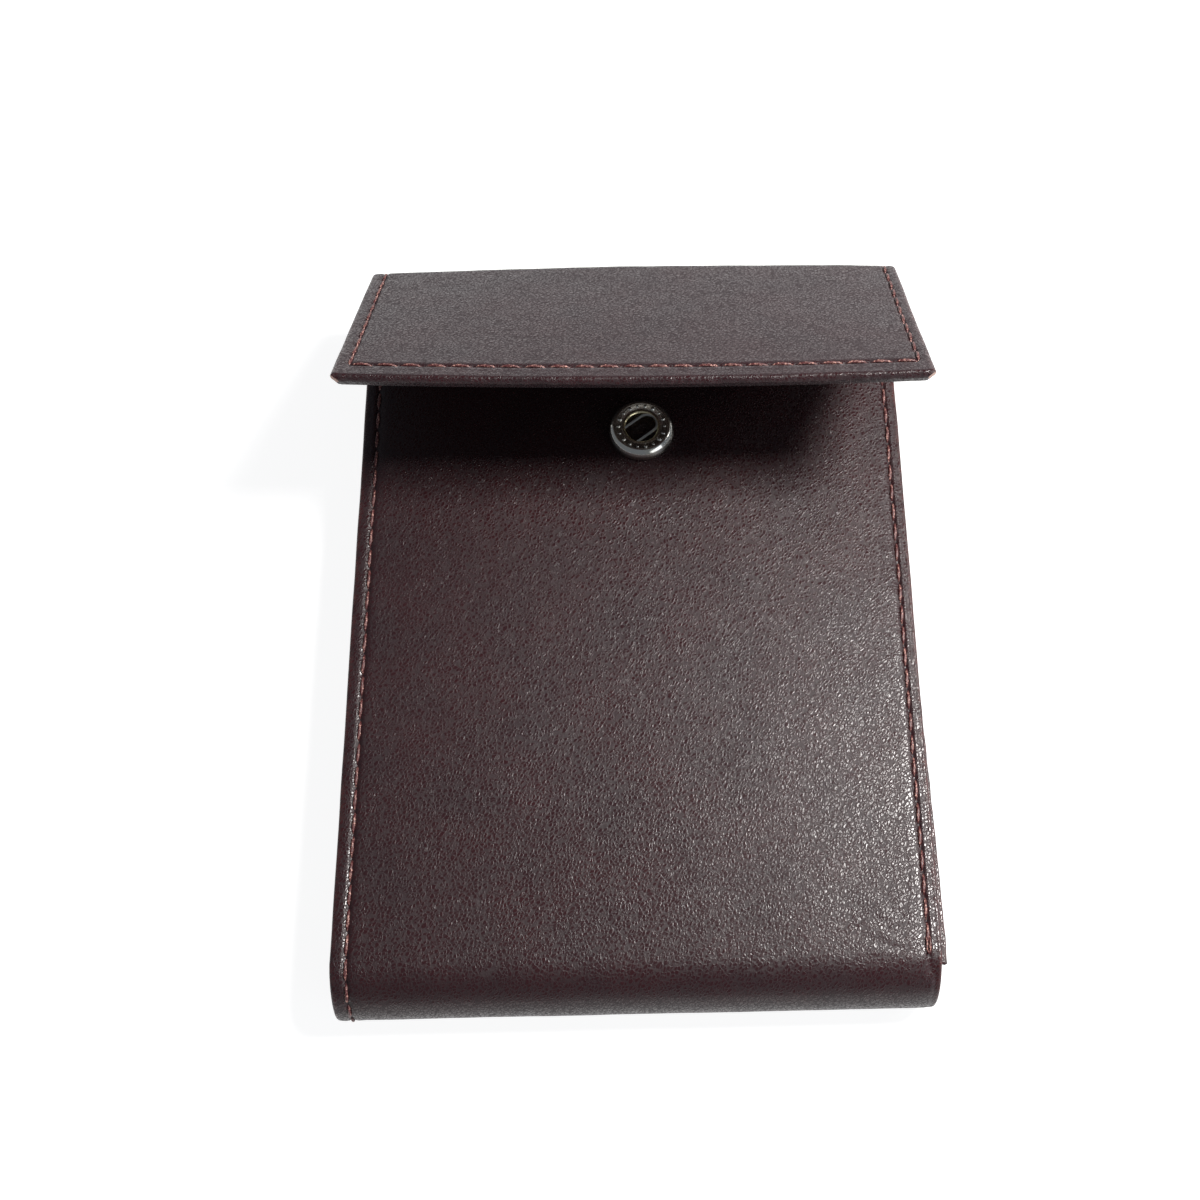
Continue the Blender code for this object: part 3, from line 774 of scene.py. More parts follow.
def leather_material():
    """Dyed, crinkle-grained leather with a dull polish and painted shade in the grain's creases."""
    look = settings().leather
    material, graph, shader = new_material("wine_brown_leather")
    place = strip_vector(graph)
    grain = graph.group(
        shared("leather_grain", grain_group),
        {"Vector": place, "Cell": look.grain_size / MM, "Warp": (1.5, 1.5, 1.5)},
    )
    patches = graph.group(
        shared("uneven_patches", blotch_group), {"Vector": place, "Size": 9.0, "Contrast": 0.5}
    )["Mask"]
    specks = graph.group(
        shared("uneven_patches", blotch_group), {"Vector": place, "Size": 1.4, "Contrast": 0.5}
    )["Mask"]
    edge = graph.node("Attribute", attribute_name="edge").outputs["Fac"]
    warm = (look.colour[0] * 1.35, look.colour[1] * 1.02, look.colour[2] * 0.98)
    dyed = graph.mix(patches, rgba(look.colour), rgba(warm))
    rubbed = (0.085, 0.026, 0.024)
    worn = graph.mix(graph.math("MULTIPLY", edge, specks), dyed, rgba(rubbed))
    # The grain's creases take the painted shade colour.
    colour = graph.mix(graph.math("MULTIPLY", grain["Crease"], 0.6), worn, rgba(look.crease_shade_colour))
    rough = graph.math("ADD", look.roughness, graph.math("MULTIPLY", grain["Crease"], 0.34))
    rough = graph.math("ADD", rough, graph.math("MULTIPLY", specks, 0.05))
    broad = graph.node("TexNoise", {"Vector": place, "Scale": 0.33, "Detail": 3.0})
    height = graph.math("ADD", grain["Height"], graph.math("MULTIPLY", broad.outputs["Fac"], 0.3))
    bump = graph.node("Bump", {"Height": height, "Strength": 1.0, "Distance": look.grain_depth})
    graph.feed(shader.inputs["Base Color"], colour)
    graph.feed(shader.inputs["Roughness"], rough)
    graph.feed(shader.inputs["Normal"], bump.outputs[0])
    shader.inputs["IOR"].default_value = 1.45
    shader.inputs["Sheen Weight"].default_value = 0.03
    shader.inputs["Sheen Tint"].default_value = (0.85, 0.90, 1.0, 1.0)
    return material


def raw_leather_material():
    """The pale fibrous face of cut leather."""
    look = settings().leather
    material, graph, shader = new_material("cut_leather")
    place = object_vector(graph)
    fibres = graph.node("TexNoise", {"Vector": place, "Scale": 7.0, "Detail": 4.0})
    share = graph.remap(fibres.outputs["Fac"], 0.35, 0.7)
    dark = tuple(0.45 * channel for channel in look.raw_colour)
    graph.feed(shader.inputs["Base Color"], graph.mix(share, rgba(dark), rgba(look.raw_colour)))
    bump = graph.node(
        "Bump", {"Height": fibres.outputs["Fac"], "Strength": 1.0, "Distance": 0.05 * MM}
    )
    graph.feed(shader.inputs["Normal"], bump.outputs[0])
    graph.feed(shader.inputs["Roughness"], graph.remap(fibres.outputs["Fac"], 0, 1, 0.8, 0.95))
    return material


def lining_material():
    """Close plain-woven cloth."""
    look = settings().trim
    material, graph, shader = new_material("lining_cloth")
    place = strip_vector(graph)
    weave = graph.group(shared("plain_weave", weave_group), {"Vector": place, "Yarn": 0.32})
    patches = graph.group(
        shared("uneven_patches", blotch_group), {"Vector": place, "Size": 7.0, "Contrast": 0.5}
    )["Mask"]
    pale = tuple(1.5 * channel for channel in look.lining_colour)
    dark = tuple(0.35 * channel for channel in look.lining_colour)
    cloth = graph.mix(patches, rgba(look.lining_colour), rgba(pale))
    # Painted shade: the weave's gaps are darkened.
    colour = graph.mix(weave["Gap Shade"], cloth, rgba(dark))
    bump = graph.node("Bump", {"Height": weave["Height"], "Strength": 0.9, "Distance": 0.06 * MM})
    graph.feed(shader.inputs["Base Color"], colour)
    graph.feed(shader.inputs["Roughness"], graph.remap(weave["Height"], 0, 1, 0.9, 0.7))
    graph.feed(shader.inputs["Normal"], bump.outputs[0])
    shader.inputs["Sheen Weight"].default_value = 0.25
    return material


def thread_material():
    """Twisted, waxed thread with a painted highlight on top of its plies."""
    look = settings().seams
    material, graph, shader = new_material("waxed_thread")
    place = object_vector(graph)
    ply = graph.node("Attribute", attribute_name="ply").outputs["Fac"]
    fuzz = graph.node("TexNoise", {"Vector": place, "Scale": 4.5, "Detail": 2.0})
    # Painted highlight: the plies' tops, broken up by noise, take the pale colour.
    raised = graph.math("MULTIPLY", ply, graph.remap(fuzz.outputs["Fac"], 0.52, 0.62, 0.02, 1.0))
    graph.feed(
        shader.inputs["Base Color"], graph.mix(raised, rgba(look.colour), rgba(look.ply_highlight_colour))
    )
    height = graph.math("ADD", ply, graph.math("MULTIPLY", fuzz.outputs["Fac"], 0.5))
    bump = graph.node("Bump", {"Height": height, "Strength": 0.8, "Distance": 0.05 * MM})
    graph.feed(shader.inputs["Normal"], bump.outputs[0])
    graph.feed(shader.inputs["Roughness"], graph.remap(fuzz.outputs["Fac"], 0.2, 0.8, 0.38, 0.6))
    return material


def metal_material(name, colour, dull_colour, roughness, bore_only=False):
    """Polished metal with fine scratches and a dull film in patches."""
    material, graph, shader = new_material(name)
    place = object_vector(graph)
    marks = graph.group(shared("fine_scratches", scratch_group), {"Vector": place, "Scale": 1.3})
    film = graph.group(
        shared("uneven_patches", blotch_group), {"Vector": place, "Size": 1.6, "Contrast": 0.4}
    )["Mask"]
    if bore_only:
        near = graph.node(
            "Mapping",
            {"Vector": place, "Location": (-SNAP.x / MM, -SNAP.y / MM, 0), "Scale": (1, 1, 0)},
        ).outputs[0]
        radius = graph.node("VectorMath", {0: near}, operation="LENGTH").outputs["Value"]
        inside = graph.remap(radius, SNAP_BORE / MM + 0.7, SNAP_BORE / MM + 0.05)
        film = graph.math("MAXIMUM", inside, graph.math("MULTIPLY", film, 0.25))
    graph.feed(shader.inputs["Base Color"], graph.mix(film, rgba(colour), rgba(dull_colour)))
    rough = graph.math("ADD", roughness, graph.math("MULTIPLY", film, 0.12))
    rough = graph.math("ADD", rough, graph.math("MULTIPLY", marks["Mask"], 0.12))
    graph.feed(shader.inputs["Roughness"], rough)
    bump = graph.node("Bump", {"Height": marks["Height"], "Strength": 0.35, "Distance": 0.01 * MM})
    graph.feed(shader.inputs["Normal"], bump.outputs[0])
    shader.inputs["Metallic"].default_value = 1.0
    return material


def board_material():
    """Grey-brown pressed board with loose fibres."""
    material, graph, shader = new_material("pressed_board")
    place = object_vector(graph)
    lined = graph.node("Mapping", {"Vector": place, "Scale": (0.6, 3.0, 3.0)}).outputs[0]
    fibres = graph.node("TexNoise", {"Vector": lined, "Scale": 2.2, "Detail": 5.0})
    share = graph.remap(fibres.outputs["Fac"], 0.3, 0.7)
    dark, pale = (0.20, 0.165, 0.13), (0.37, 0.32, 0.26)
    graph.feed(shader.inputs["Base Color"], graph.mix(share, rgba(dark), rgba(pale)))
    bump = graph.node("Bump", {"Height": share, "Strength": 0.5, "Distance": 0.04 * MM})
    graph.feed(shader.inputs["Normal"], bump.outputs[0])
    graph.feed(shader.inputs["Roughness"], graph.remap(fibres.outputs["Fac"], 0, 1, 0.85, 0.95))
    return material


def once(name, build, *values):
    """A material that is built once."""
    return bpy.data.materials.get(name) or build(*values)


def leather():
    return once("wine_brown_leather", leather_material)


def thread():
    return once("waxed_thread", thread_material)


def brass():
    colour = settings().trim.brass_colour
    dull = tuple(0.55 * channel for channel in colour)
    return once("brass", metal_material, "brass", colour, dull, 0.42)


# ------------------------------------------------------------------ outer leather


def across_stations(limit):
    """Stations across the strip, close together at its edges and seams."""
    fixed = [LEFT_SEAM + step * MM for step in SEAM_STEPS]
    fixed += [RIGHT_SEAM + step * MM for step in SEAM_STEPS]
    for step in EDGE_STEPS:
        fixed += [step * MM - HALF_WIDTH, HALF_WIDTH - step * MM]
    return stations(fixed, limit)


def along_stations(low, high, limit, extra=()):
    """Stations along the strip, close together at the needle holes."""
    fixed = [low, high, *extra]
    for hole in hole_stations(low, high):
        fixed += [hole + step * MM for step in HOLE_STEPS if low < hole + step * MM < high]
    return stations(fixed, limit)


def build_front():
    """The front panel and the bottom fold."""
    across = across_stations(lambda x: 0.45 * MM if x > RIGHT_SEAM - 12 * MM else 0.95 * MM)
    mouth = [step * MM for step in EDGE_STEPS]
    along = along_stations(0, S_UNDER, lambda s: 0.62 * MM, mouth)
    bm = sheet_mesh(across, along, leather_depth, strip_point)
    obj = finish_piece("case_front_leather", bm, [leather()])
    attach(obj, "case")
    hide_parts("outer_wrap")


def build_back():
    """The back panel, the lower fold and the lower half of the spine."""
    across = across_stations(lambda x: 1.2 * MM)
    along = along_stations(S_UNDER, S_SPLIT, lambda s: 0.62 * MM if s < S_LOWER - 4 * MM else 0.3 * MM)
    bm = sheet_mesh(across, along, leather_depth, strip_point)
    obj = finish_piece("case_back_leather", bm, [leather()])
    bend_lower(obj)
    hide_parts("spine_leather")


def cut_flap_corners(bm, size):
    """Cuts the lower tips off the flap's free corners and faces the cuts with raw leather."""
    for side in (-1, 1):
        tip = strip_point(side * (HALF_WIDTH - 0.2 * MM), S_END, 0.1 * FLAP_RIM)
        inwards = strip_point(side * (HALF_WIDTH - size), S_END, FLAP_RIM)
        back = strip_point(side * HALF_WIDTH, S_END - 0.8 * size, FLAP_RIM)
        out = (inwards - tip).cross(back - tip).normalized()
        if out.x * side < 0:
            out = -out
        geom = bm.verts[:] + bm.edges[:] + bm.faces[:]
        done = bmesh.ops.bisect_plane(
            bm, geom=geom, plane_co=tip, plane_no=out, clear_outer=True, dist=0.001 * MM
        )
        rim = [item for item in done["geom_cut"] if isinstance(item, bmesh.types.BMEdge)]
        for cap in bmesh.ops.holes_fill(bm, edges=rim, sides=0)["faces"]:
            cap.material_index = 1
            for e in cap.edges:
                e.smooth = False


def build_flap():
    """The upper half of the spine, the crease and the flap."""
    fixed = [hole + step * MM for hole in end_holes() for step in HOLE_STEPS]
    across = stations(fixed + across_stations(lambda x: MM), lambda x: 0.42 * MM)
    end = [S_END - step * MM for step in EDGE_STEPS]
    end += [end_seam_s() + step * MM for step in SEAM_STEPS]
    along = along_stations(S_SPLIT, S_END, lambda s: 0.5 * MM if s > S_FLAP + 4 * MM else 0.3 * MM, end)
    bm = sheet_mesh(across, along, leather_depth, flap_surface)
    cut_flap_corners(bm, FLAP_CORNER_CUT)
    raw = once("cut_leather", raw_leather_material)
    obj = finish_piece("flap_outer_leather", bm, [leather(), raw])
    bend_upper(obj)
    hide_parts("flap_leather")


# ------------------------------------------------------------------ linings


def lining_depth(s):
    """How deep the lining lies: over the boards, and closer to the leather at the folds."""
    return BODY_LINING_DEPTH + (FLAP_LINING_DEPTH - BODY_LINING_DEPTH) * ease(
        s, S_LOWER - 4 * MM, S_LOWER - 1.5 * MM
    )


def build_lining(name, half_width, low, high, replaced):
    """One skin of lining cloth along part of the strip."""

    def depth_of(x, s, face):
        full = roundness(half_width - abs(x), 0.2 * MM)
        middle = lining_depth(s) + LINING / 2
        soft = 0.04 * MM * ripple(11, x, s, 9 * MM)
        return middle + soft + (face - 0.5) * LINING * full

    edges = [-half_width + 0.1 * MM, half_width - 0.1 * MM]
    across = stations([-half_width, half_width, *edges], lambda x: 1.6 * MM)
    folds = [S_FOLD, S_UNDER, S_LOWER, S_SPINE, S_CREASE, S_FLAP]

    def limit(s):
        return 0.35 * MM if min(abs(s - fold) for fold in folds[2:]) < 4 * MM else 1.5 * MM

    along = stations([low, high] + [fold for fold in folds if low < fold < high], limit)
    cloth = once("lining_cloth", lining_material)
    obj = finish_piece(name, sheet_mesh(across, along, depth_of, strip_point), [cloth])
    middle = [strip_point(0, s, lining_depth(s) + LINING / 2) for s in along]
    cut_length = sum((b - a).length for a, b in zip(middle, middle[1:]))
    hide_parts(replaced)
    return obj, (2 * half_width, cut_length)


def build_flap_board(inset):
    """The flap's stiffening board, which follows the leather's bow."""
    half_width = HALF_WIDTH - inset
    middle = (LEATHER + FLAP_LINING_DEPTH) / 2

    def depth_of(x, s, face):
        return middle + (face - 0.5) * FLAP_BOARD

    across = stations([-half_width, half_width], lambda x: 2.5 * MM)
    along = stations([S_FLAP + 0.8 * MM, S_END - inset], lambda s: 2.5 * MM)
    board = once("pressed_board", board_material)
    obj = finish_piece(
        "flap_stiffener", sheet_mesh(across, along, depth_of, strip_point), [board], smooth=False
    )
    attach(obj, "flap")
    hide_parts("flap_board")


def build_linings():
    """The cloth inside the case, the spine and the flap, and the flap's board."""
    inset = HEM_LIP + HEM_STEP
    half = HALF_WIDTH - inset
    build_flap_board(inset + 0.1 * MM)
    case_end = S_LOWER - 4.5 * MM
    obj, flat = build_lining(
        "case_lining_cloth", LINING_HALF_WIDTH, 0.6 * MM, case_end, "wrap_lining"
    )
    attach(obj, "case")
    obj, flat = build_lining("spine_lining_cloth", half, case_end + 0.05 * MM, S_SPLIT, "spine_lining")
    bend_lower(obj)
    obj, flat = build_lining("flap_lining_cloth", half, S_SPLIT, S_END - inset, "flap_lining")
    bend_upper(obj)


# ------------------------------------------------------------------ gussets


def build_gusset(name, side, edge_x, tuck, ragged, replaced):
    """A side wall: a flange in each seam and a soft fold turned inwards."""
    flange_z = THICKNESS - BODY_HEM - 0.05 * MM - GUSSET / 2
    bend_x, fold_x = 34.2 * MM, 29.8 * MM
    slope = math.hypot(bend_x - fold_x, flange_z - THICKNESS / 2)
    steep = math.degrees(math.atan2(flange_z - THICKNESS / 2, bend_x - fold_x))
    outer_r, inner_r = 1.7 * MM, 0.9 * MM
    tuck_length, frayed_length = 62 * MM, 2.2 * MM
    outer_t = outer_r * math.tan(math.radians(steep / 2))
    inner_t = inner_r * math.tan(math.radians(steep))
    flat = edge_x - bend_x - outer_t
    wall = slope - outer_t - inner_t
    section = BentLine(
        (edge_x, flange_z), 180,
        [
            (flat, 0), arc(outer_r, steep), (wall, 0), arc(inner_r, 180 - 2 * (90 - steep)),
            (wall, 0), arc(outer_r, steep), (flat, 0),
        ],
    )
    low_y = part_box(replaced)[0].y - GUSSET_OVERHANG * ragged
    high_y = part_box(replaced)[1].y
    skew = settings().leather.bottom_skew

    def depth_of(t, s, face):
        from_end = min(s - low_y, high_y - s)
        full = roundness(min(t, section.length - t), 0.3 * MM) * roundness(from_end, 0.3 * MM)
        soft = 0.16 * MM * ripple(21 + side, t, s, 13 * MM) * bell(t - section.length / 2, 3.4 * MM)
        soft += 0.03 * MM * ripple(31 + side, t, s, 3 * MM)
        return (face - 0.5) * GUSSET * full - soft

    def surface(t, s, depth):
        point, normal = section.at(t)
        x = point.x - normal.x * depth
        z = point.y - normal.y * depth
        frayed = ragged * (1 - ease(s, low_y, low_y + frayed_length))
        tear = ripple(41, t, 0, 0.8 * MM) + 0.6 * ripple(42, t, 0, 0.25 * MM)
        x += 0.10 * MM * ragged * ripple(43, 0, s, 2.5 * MM) * bell(min(t, section.length - t), MM)
        x -= tuck * ease(s, low_y, low_y + tuck_length) * bell(min(t, section.length - t), 2 * MM)
        y = s + skew * side * (x / HALF_WIDTH) * (TOP_Y - s) / LENGTH + 0.35 * MM * frayed * tear
        return Vector((side * x, y, z))

    edge = [0, 0.05, 0.12, 0.22, 0.35, 0.6, 0.9, 1.2]
    fixed = [step * MM for step in edge] + [section.length - step * MM for step in edge]
    fixed += [run[0] for run in section.runs]
    across = stations(fixed, lambda t: 0.4 * MM)
    fixed = [low_y + step * MM for step in edge] + [high_y - step * MM for step in edge]
    along = stations(fixed, lambda s: 1.0 * MM)
    obj = finish_piece(name, sheet_mesh(across, along, depth_of, surface), [leather()])
    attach(obj, "case")
    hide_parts(replaced)


# ------------------------------------------------------------------ seams


def stitch_form():
    """A plain unit cylinder in rings, from which every stitch is shaped."""
    form = bpy.data.meshes.get("stitch_form")
    if form:
        return form
    bm = bmesh.new()
    bmesh.ops.create_cone(
        bm, cap_ends=True, cap_tris=False, segments=8, radius1=1, radius2=1, depth=1
    )
    spans = [e for e in bm.edges if e.verts[0].co.z * e.verts[1].co.z < 0]
    bmesh.ops.subdivide_edges(bm, edges=spans, cuts=5)
    form = bpy.data.meshes.new("stitch_form")
    bm.to_mesh(form)
    bm.free()
    return form


def lay_stitch(bm, ply, start, end, place, width, lift):
    """One twisted stitch between two points on a surface, dipping into a hole at each end.

    place(u, v, height) gives a point of the surface by two coordinates.
    """
    turns, hole_depth, flattened = 1.6, 0.30 * MM, 0.85
    done = len(bm.verts)
    bm.from_mesh(stitch_form())
    bm.verts.ensure_lookup_table()
    run = (end - start).normalized()
    aside = Vector((-run.y, run.x))
    for vert in bm.verts[done:]:
        t = vert.co.z + 0.5
        angle = math.atan2(vert.co.y, vert.co.x)
        lobe = math.cos(2 * (angle - turns * math.pi * t))
        fullness = max(math.sin(math.pi * t), 0.0) ** 0.4
        radius = width / 2 * (0.35 + 0.65 * fullness) * (1 + 0.16 * lobe)
        u, v = start.lerp(end, t) + aside * radius * math.cos(angle)
        dip = hole_depth * (1 - fullness)
        vert[ply] = 0.5 + 0.5 * lobe
        vert.co = place(u, v, lift - dip + radius * flattened * math.sin(angle))


def stitch_run(bm, ply, points, place, lift, slant):
    """Stitches from hole to hole, each a little slanted."""
    width = settings().seams.width
    for index, (a, b) in enumerate(zip(points, points[1:])):
        start, end = Vector(a), Vector(b)
        run = (end - start).normalized()
        aside = Vector((-run.y, run.x)) * slant
        gap = 0.17 * MM
        jitter = 0.04 * MM * noise.noise(Vector((index * 1.7, start.x * 90, start.y * 90)))
        lay_stitch(
            bm, ply, start + run * gap - aside + aside.normalized() * jitter,
            end - run * gap + aside + aside.normalized() * jitter, place, width, lift,
        )


def grain_side(u, v, height):
    """A point over the outer leather's grain side."""
    return strip_point(u, v, -height - front_swell(u, v))


def flesh_side(u, v, height):
    """A point under the flap, over its lining."""
    return strip_point(u, v, FLAP_LINING_DEPTH + LINING + height)


def seam_piece(name, runs, place, lift, replaced, tack=None):
    """A piece of seam from one or more rows of needle holes."""
    bm = bmesh.new()
    ply = bm.verts.layers.float.new("ply")
    for points in runs:
        stitch_run(bm, ply, points, place, lift, 0.07 * MM)
    if tack:
        width = settings().seams.width * 0.62
        for side in (-1, 1):
            shift = Vector((0.20 * MM * side, 0))
            lay_stitch(bm, ply, tack[0] + shift, tack[1] + shift, place, width, lift + 0.1 * MM)
            lay_stitch(
                bm, ply, tack[1] + shift * 1.3 - Vector((0, 0.3 * MM)),
                tack[1] - shift * 0.4 + Vector((0, 0.15 * MM)), place, width, lift + 0.14 * MM,
            )
    bmesh.ops.recalc_face_normals(bm, faces=bm.faces)
    obj = finish_piece(name, bm, [thread()])
    for node in replaced:
        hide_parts(node)
    return obj


def rows(x, low, high):
    return [(x, s) for s in hole_stations(low, high)]


def build_seams():
    """Every seam, stitch by stitch."""
    pitch = stitch_pitch()
    proud, flush = 0.02 * MM, -0.34 * MM
    case_end = hole_stations(0, S_LOWER - 2 * MM)[-1]
    under_start = hole_stations(0, S_UNDER)[-1]
    spine_end = hole_stations(0, S_SPLIT)[-1]
    front = rows(LEFT_SEAM, 0, under_start)
    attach(seam_piece("left_front_seam", [front], grain_side, proud, ["left_body_thread"]), "case")
    back = rows(LEFT_SEAM, under_start, case_end)
    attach(seam_piece("left_back_seam", [back], grain_side, flush, []), "case")
    front = rows(RIGHT_SEAM, 0, TACK_S + 0.5 * MM)
    last = Vector(front[-1])
    tack = (last + Vector((0, -0.42 * pitch)), last + Vector((0, 0.90 * MM)))
    obj = seam_piece(
        "right_front_seam", [front], grain_side, proud, ["right_front_thread"], tack
    )
    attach(obj, "case")
    back = rows(RIGHT_SEAM, S_UNDER, case_end)
    obj = seam_piece("right_back_seam", [back], grain_side, flush, ["right_back_thread"])
    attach(obj, "case")
    for side, x in (("left", LEFT_SEAM), ("right", RIGHT_SEAM)):
        row = rows(x, case_end, spine_end)
        obj = seam_piece(f"spine_{side}_seam", [row], grain_side, -0.06 * MM, [f"spine_{side}_thread"])
        bend_lower(obj)
    end = end_seam_s()
    across = [(x, end) for x in end_holes()]
    sides = [rows(x, spine_end, end + MM) for x in (LEFT_SEAM, RIGHT_SEAM)]
    obj = seam_piece("flap_seam", [*sides, across], grain_side, proud, ["flap_thread"])
    bend_upper(obj)
    sides = [rows(x, S_FLAP + 1.5 * MM, end + MM) for x in (LEFT_SEAM, RIGHT_SEAM)]
    obj = seam_piece("flap_under_seam", [*sides, across], flesh_side, -0.02 * MM, [])
    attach(obj, "flap")


# ------------------------------------------------------------------ snap


def socket_profile():
    """The ring's half section as (radius, height over its foot), from the bore outwards."""
    high = SNAP_TOP - SOCKET_LOW.z
    return [
        (SNAP_BORE, 0), (SNAP_RADIUS - 0.25 * MM, 0), (SNAP_RADIUS, 0.20 * MM),
        (SNAP_RADIUS - 0.10 * MM, high - 0.95 * MM), (SNAP_RADIUS - 0.36 * MM, high - 0.45 * MM),
        (SNAP_RADIUS - 0.75 * MM, high - 0.08 * MM), (SNAP_RADIUS - 1.05 * MM, high),
        (SNAP_RADIUS - 1.25 * MM, high - 0.10 * MM),
        (SNAP_BORE + 0.50 * MM, high - 0.30 * MM), (SNAP_BORE + 0.24 * MM, high - 0.22 * MM),
        (SNAP_BORE, high - 0.45 * MM),
    ]


def turned(profile, closed, steps, sharp_deg, rounding, segments):
    """A solid turned round the snap's axis from (radius, height) points, with rounded corners."""
    bm = bmesh.new()
    verts = [bm.verts.new((SNAP.x + r, SNAP.y, z)) for r, z in profile]
    pairs = list(zip(verts, verts[1:]))
    if closed:
        pairs.append((verts[-1], verts[0]))
    edges = [bm.edges.new(pair) for pair in pairs]
    bmesh.ops.spin(
        bm, geom=verts + edges, cent=SNAP, axis=(0, 0, 1), angle=2 * math.pi, steps=steps,
        use_merge=True,
    )
    bmesh.ops.remove_doubles(bm, verts=bm.verts, dist=0.001 * MM)
    bmesh.ops.recalc_face_normals(bm, faces=bm.faces)
    bends = [e for e in bm.edges if e.calc_face_angle(0.0) > math.radians(sharp_deg)]
    bmesh.ops.bevel(
        bm, geom=bends, offset=rounding, affect="EDGES", segments=segments, profile=0.5, material=-1
    )
    return bm


def build_ring():
    """The snap's ring with a dished face and raised dots round it."""
    foot = SOCKET_LOW.z - 0.02 * MM
    profile = [(r, foot + z) for r, z in socket_profile()]
    bm = turned(profile, True, 96, 12, 0.10 * MM, 3)
    trim = settings().trim
    mid = (SNAP_BORE + 0.62 * MM + SNAP_RADIUS - 1.05 * MM) / 2
    height = SNAP_TOP - 0.19 * MM
    for index in range(trim.ring_dots):
        turn = Matrix.Rotation(2 * math.pi * index / trim.ring_dots, 4, "Z")
        place = Matrix.Translation(SNAP) @ turn @ Matrix.Translation((mid, 0, height))
        size = 0.7 + 0.6 * (index * 0.618 % 1)
        shape = Matrix.Diagonal((0.32 * MM * size, 0.25 * MM * size, 0.20 * MM * size, 1))
        bmesh.ops.create_uvsphere(bm, u_segments=10, v_segments=6, radius=1, matrix=place @ shape)
    nickel = once(
        "nickel_plate", metal_material, "nickel_plate",
        trim.nickel_colour, trim.brass_colour, 0.08, True,
    )
    obj = finish_piece("snap_ring", bm, [nickel])
    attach(obj, "case")
    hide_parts("snap_socket")


def build_post():
    """The hollow post in the snap's bore, with a rolled rim."""
    low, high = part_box("socket_post")
    radius = (high.x - low.x) / 2
    top = high.z
    profile = [
        (0.0, top - 0.55 * MM), (0.45 * radius, top - 0.50 * MM), (0.62 * radius, top - 0.16 * MM),
        (0.74 * radius, top), (0.90 * radius, top - 0.06 * MM), (radius, top - 0.35 * MM),
        (radius, low.z), (0.0, low.z),
    ]
    bm = turned(profile, False, 48, 20, 0.05 * MM, 2)
    obj = finish_piece("snap_post", bm, [brass()])
    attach(obj, "case")
    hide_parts("socket_post")


def finish_nodes(material, *names):
    """Gives frame nodes that stay in sight their finish."""
    for name in names:
        node = frame["nodes"][name]
        node.data.materials.clear()
        node.data.materials.append(material)


def build_snap():
    """The snap's ring, spring, post, stud and rivet."""
    build_ring()
    build_post()
    trim = settings().trim
    dull = tuple(0.6 * channel for channel in trim.nickel_colour)
    plain = once("stud_nickel", metal_material, "stud_nickel", trim.nickel_colour, dull, 0.17)
    bright, grey = (0.90, 0.90, 0.88), (0.70, 0.69, 0.66)
    steel = once("spring_steel", metal_material, "spring_steel", bright, grey, 0.30)
    finish_nodes(plain, "snap_stud")
    finish_nodes(steel, "snap_spring")
    finish_nodes(brass(), "stud_rivet")


# ------------------------------------------------------------------ stage


def build_floor():
    """A plain pale floor, a hair under the case.

    It is dim to the lights and glows by itself, so it stays an even white with faint shadows.
    """
    bm = bmesh.new()
    bmesh.ops.create_grid(bm, x_segments=4, y_segments=4, size=3.0)
    bmesh.ops.translate(bm, verts=bm.verts, vec=(0, 0, -0.1 * MM))
    material, graph, shader = new_material("pale_floor")
    place = object_vector(graph)
    tone = graph.node("TexNoise", {"Vector": place, "Scale": 0.02, "Detail": 2.0})
    look = settings().stage
    dim = tuple(0.33 * channel for channel in look.floor_colour)
    paler = tuple(0.36 * channel for channel in look.floor_colour)
    graph.feed(shader.inputs["Base Color"], graph.mix(tone.outputs["Fac"], rgba(dim), rgba(paler)))
    graph.feed(shader.inputs["Emission Color"], rgba(look.floor_colour))
    shader.inputs["Emission Strength"].default_value = 1.05
    shader.inputs["Roughness"].default_value = 0.75
    shader.inputs["Specular IOR Level"].default_value = 0.1
    floor = finish_piece("floor", bm, [material])


def add_light(name, place, width, height, power, colour=(1, 1, 1)):
    """A soft panel that faces the case."""
    data = bpy.data.lights.new(name, "AREA")
    data.shape = "RECTANGLE"
    data.size, data.size_y = width, height
    data.energy = power
    data.color = colour
    light = bpy.data.objects.new(name, data)
    light.location = place
    light.rotation_mode = "QUATERNION"
    light.rotation_quaternion = (-Vector(place)).to_track_quat("-Z", "Y")
    bpy.context.scene.collection.objects.link(light)


def build_room(sky):
    """An even, dim room that looks paler than it lights."""
    world = bpy.data.worlds.new("room")
    world.use_nodes = True
    graph = Graph(world.node_tree)
    nodes = world.node_tree.nodes
    seen = graph.node("Background", {"Color": (0.93, 0.93, 0.94, 1), "Strength": 0.95})
    lit = nodes["Background"]
    lit.inputs["Color"].default_value = (0.80, 0.88, 1.0, 1)
    lit.inputs["Strength"].default_value = sky
    ray = graph.node("LightPath").outputs["Is Camera Ray"]
    both = graph.node("MixShader", {0: ray, 1: lit.outputs[0], 2: seen.outputs[0]})
    graph.feed(nodes["World Output"].inputs["Surface"], both.outputs[0])
    bpy.context.scene.world = world


def add_camera():
    """A camera over the bottom fold, looking down along the case."""
    elevation, yaw, roll = math.radians(66.9), math.radians(1.24), math.radians(-1.43)
    target, distance = Vector((-4.3 * MM, 1.2 * MM, 13.0 * MM)), 212 * MM
    forward = Vector((
        -math.sin(yaw) * math.cos(elevation),
        math.cos(yaw) * math.cos(elevation),
        -math.sin(elevation),
    ))
    data = bpy.data.cameras.new("camera")
    data.lens = 47.9
    data.sensor_width = 36.0
    data.clip_start, data.clip_end = 0.01, 20.0
    camera = bpy.data.objects.new("camera", data)
    camera.location = target - forward * distance
    camera.rotation_mode = "QUATERNION"
    camera.rotation_quaternion = forward.to_track_quat("-Z", "Y") @ Quaternion((0, 0, 1), roll)
    bpy.context.scene.collection.objects.link(camera)
    bpy.context.scene.camera = camera


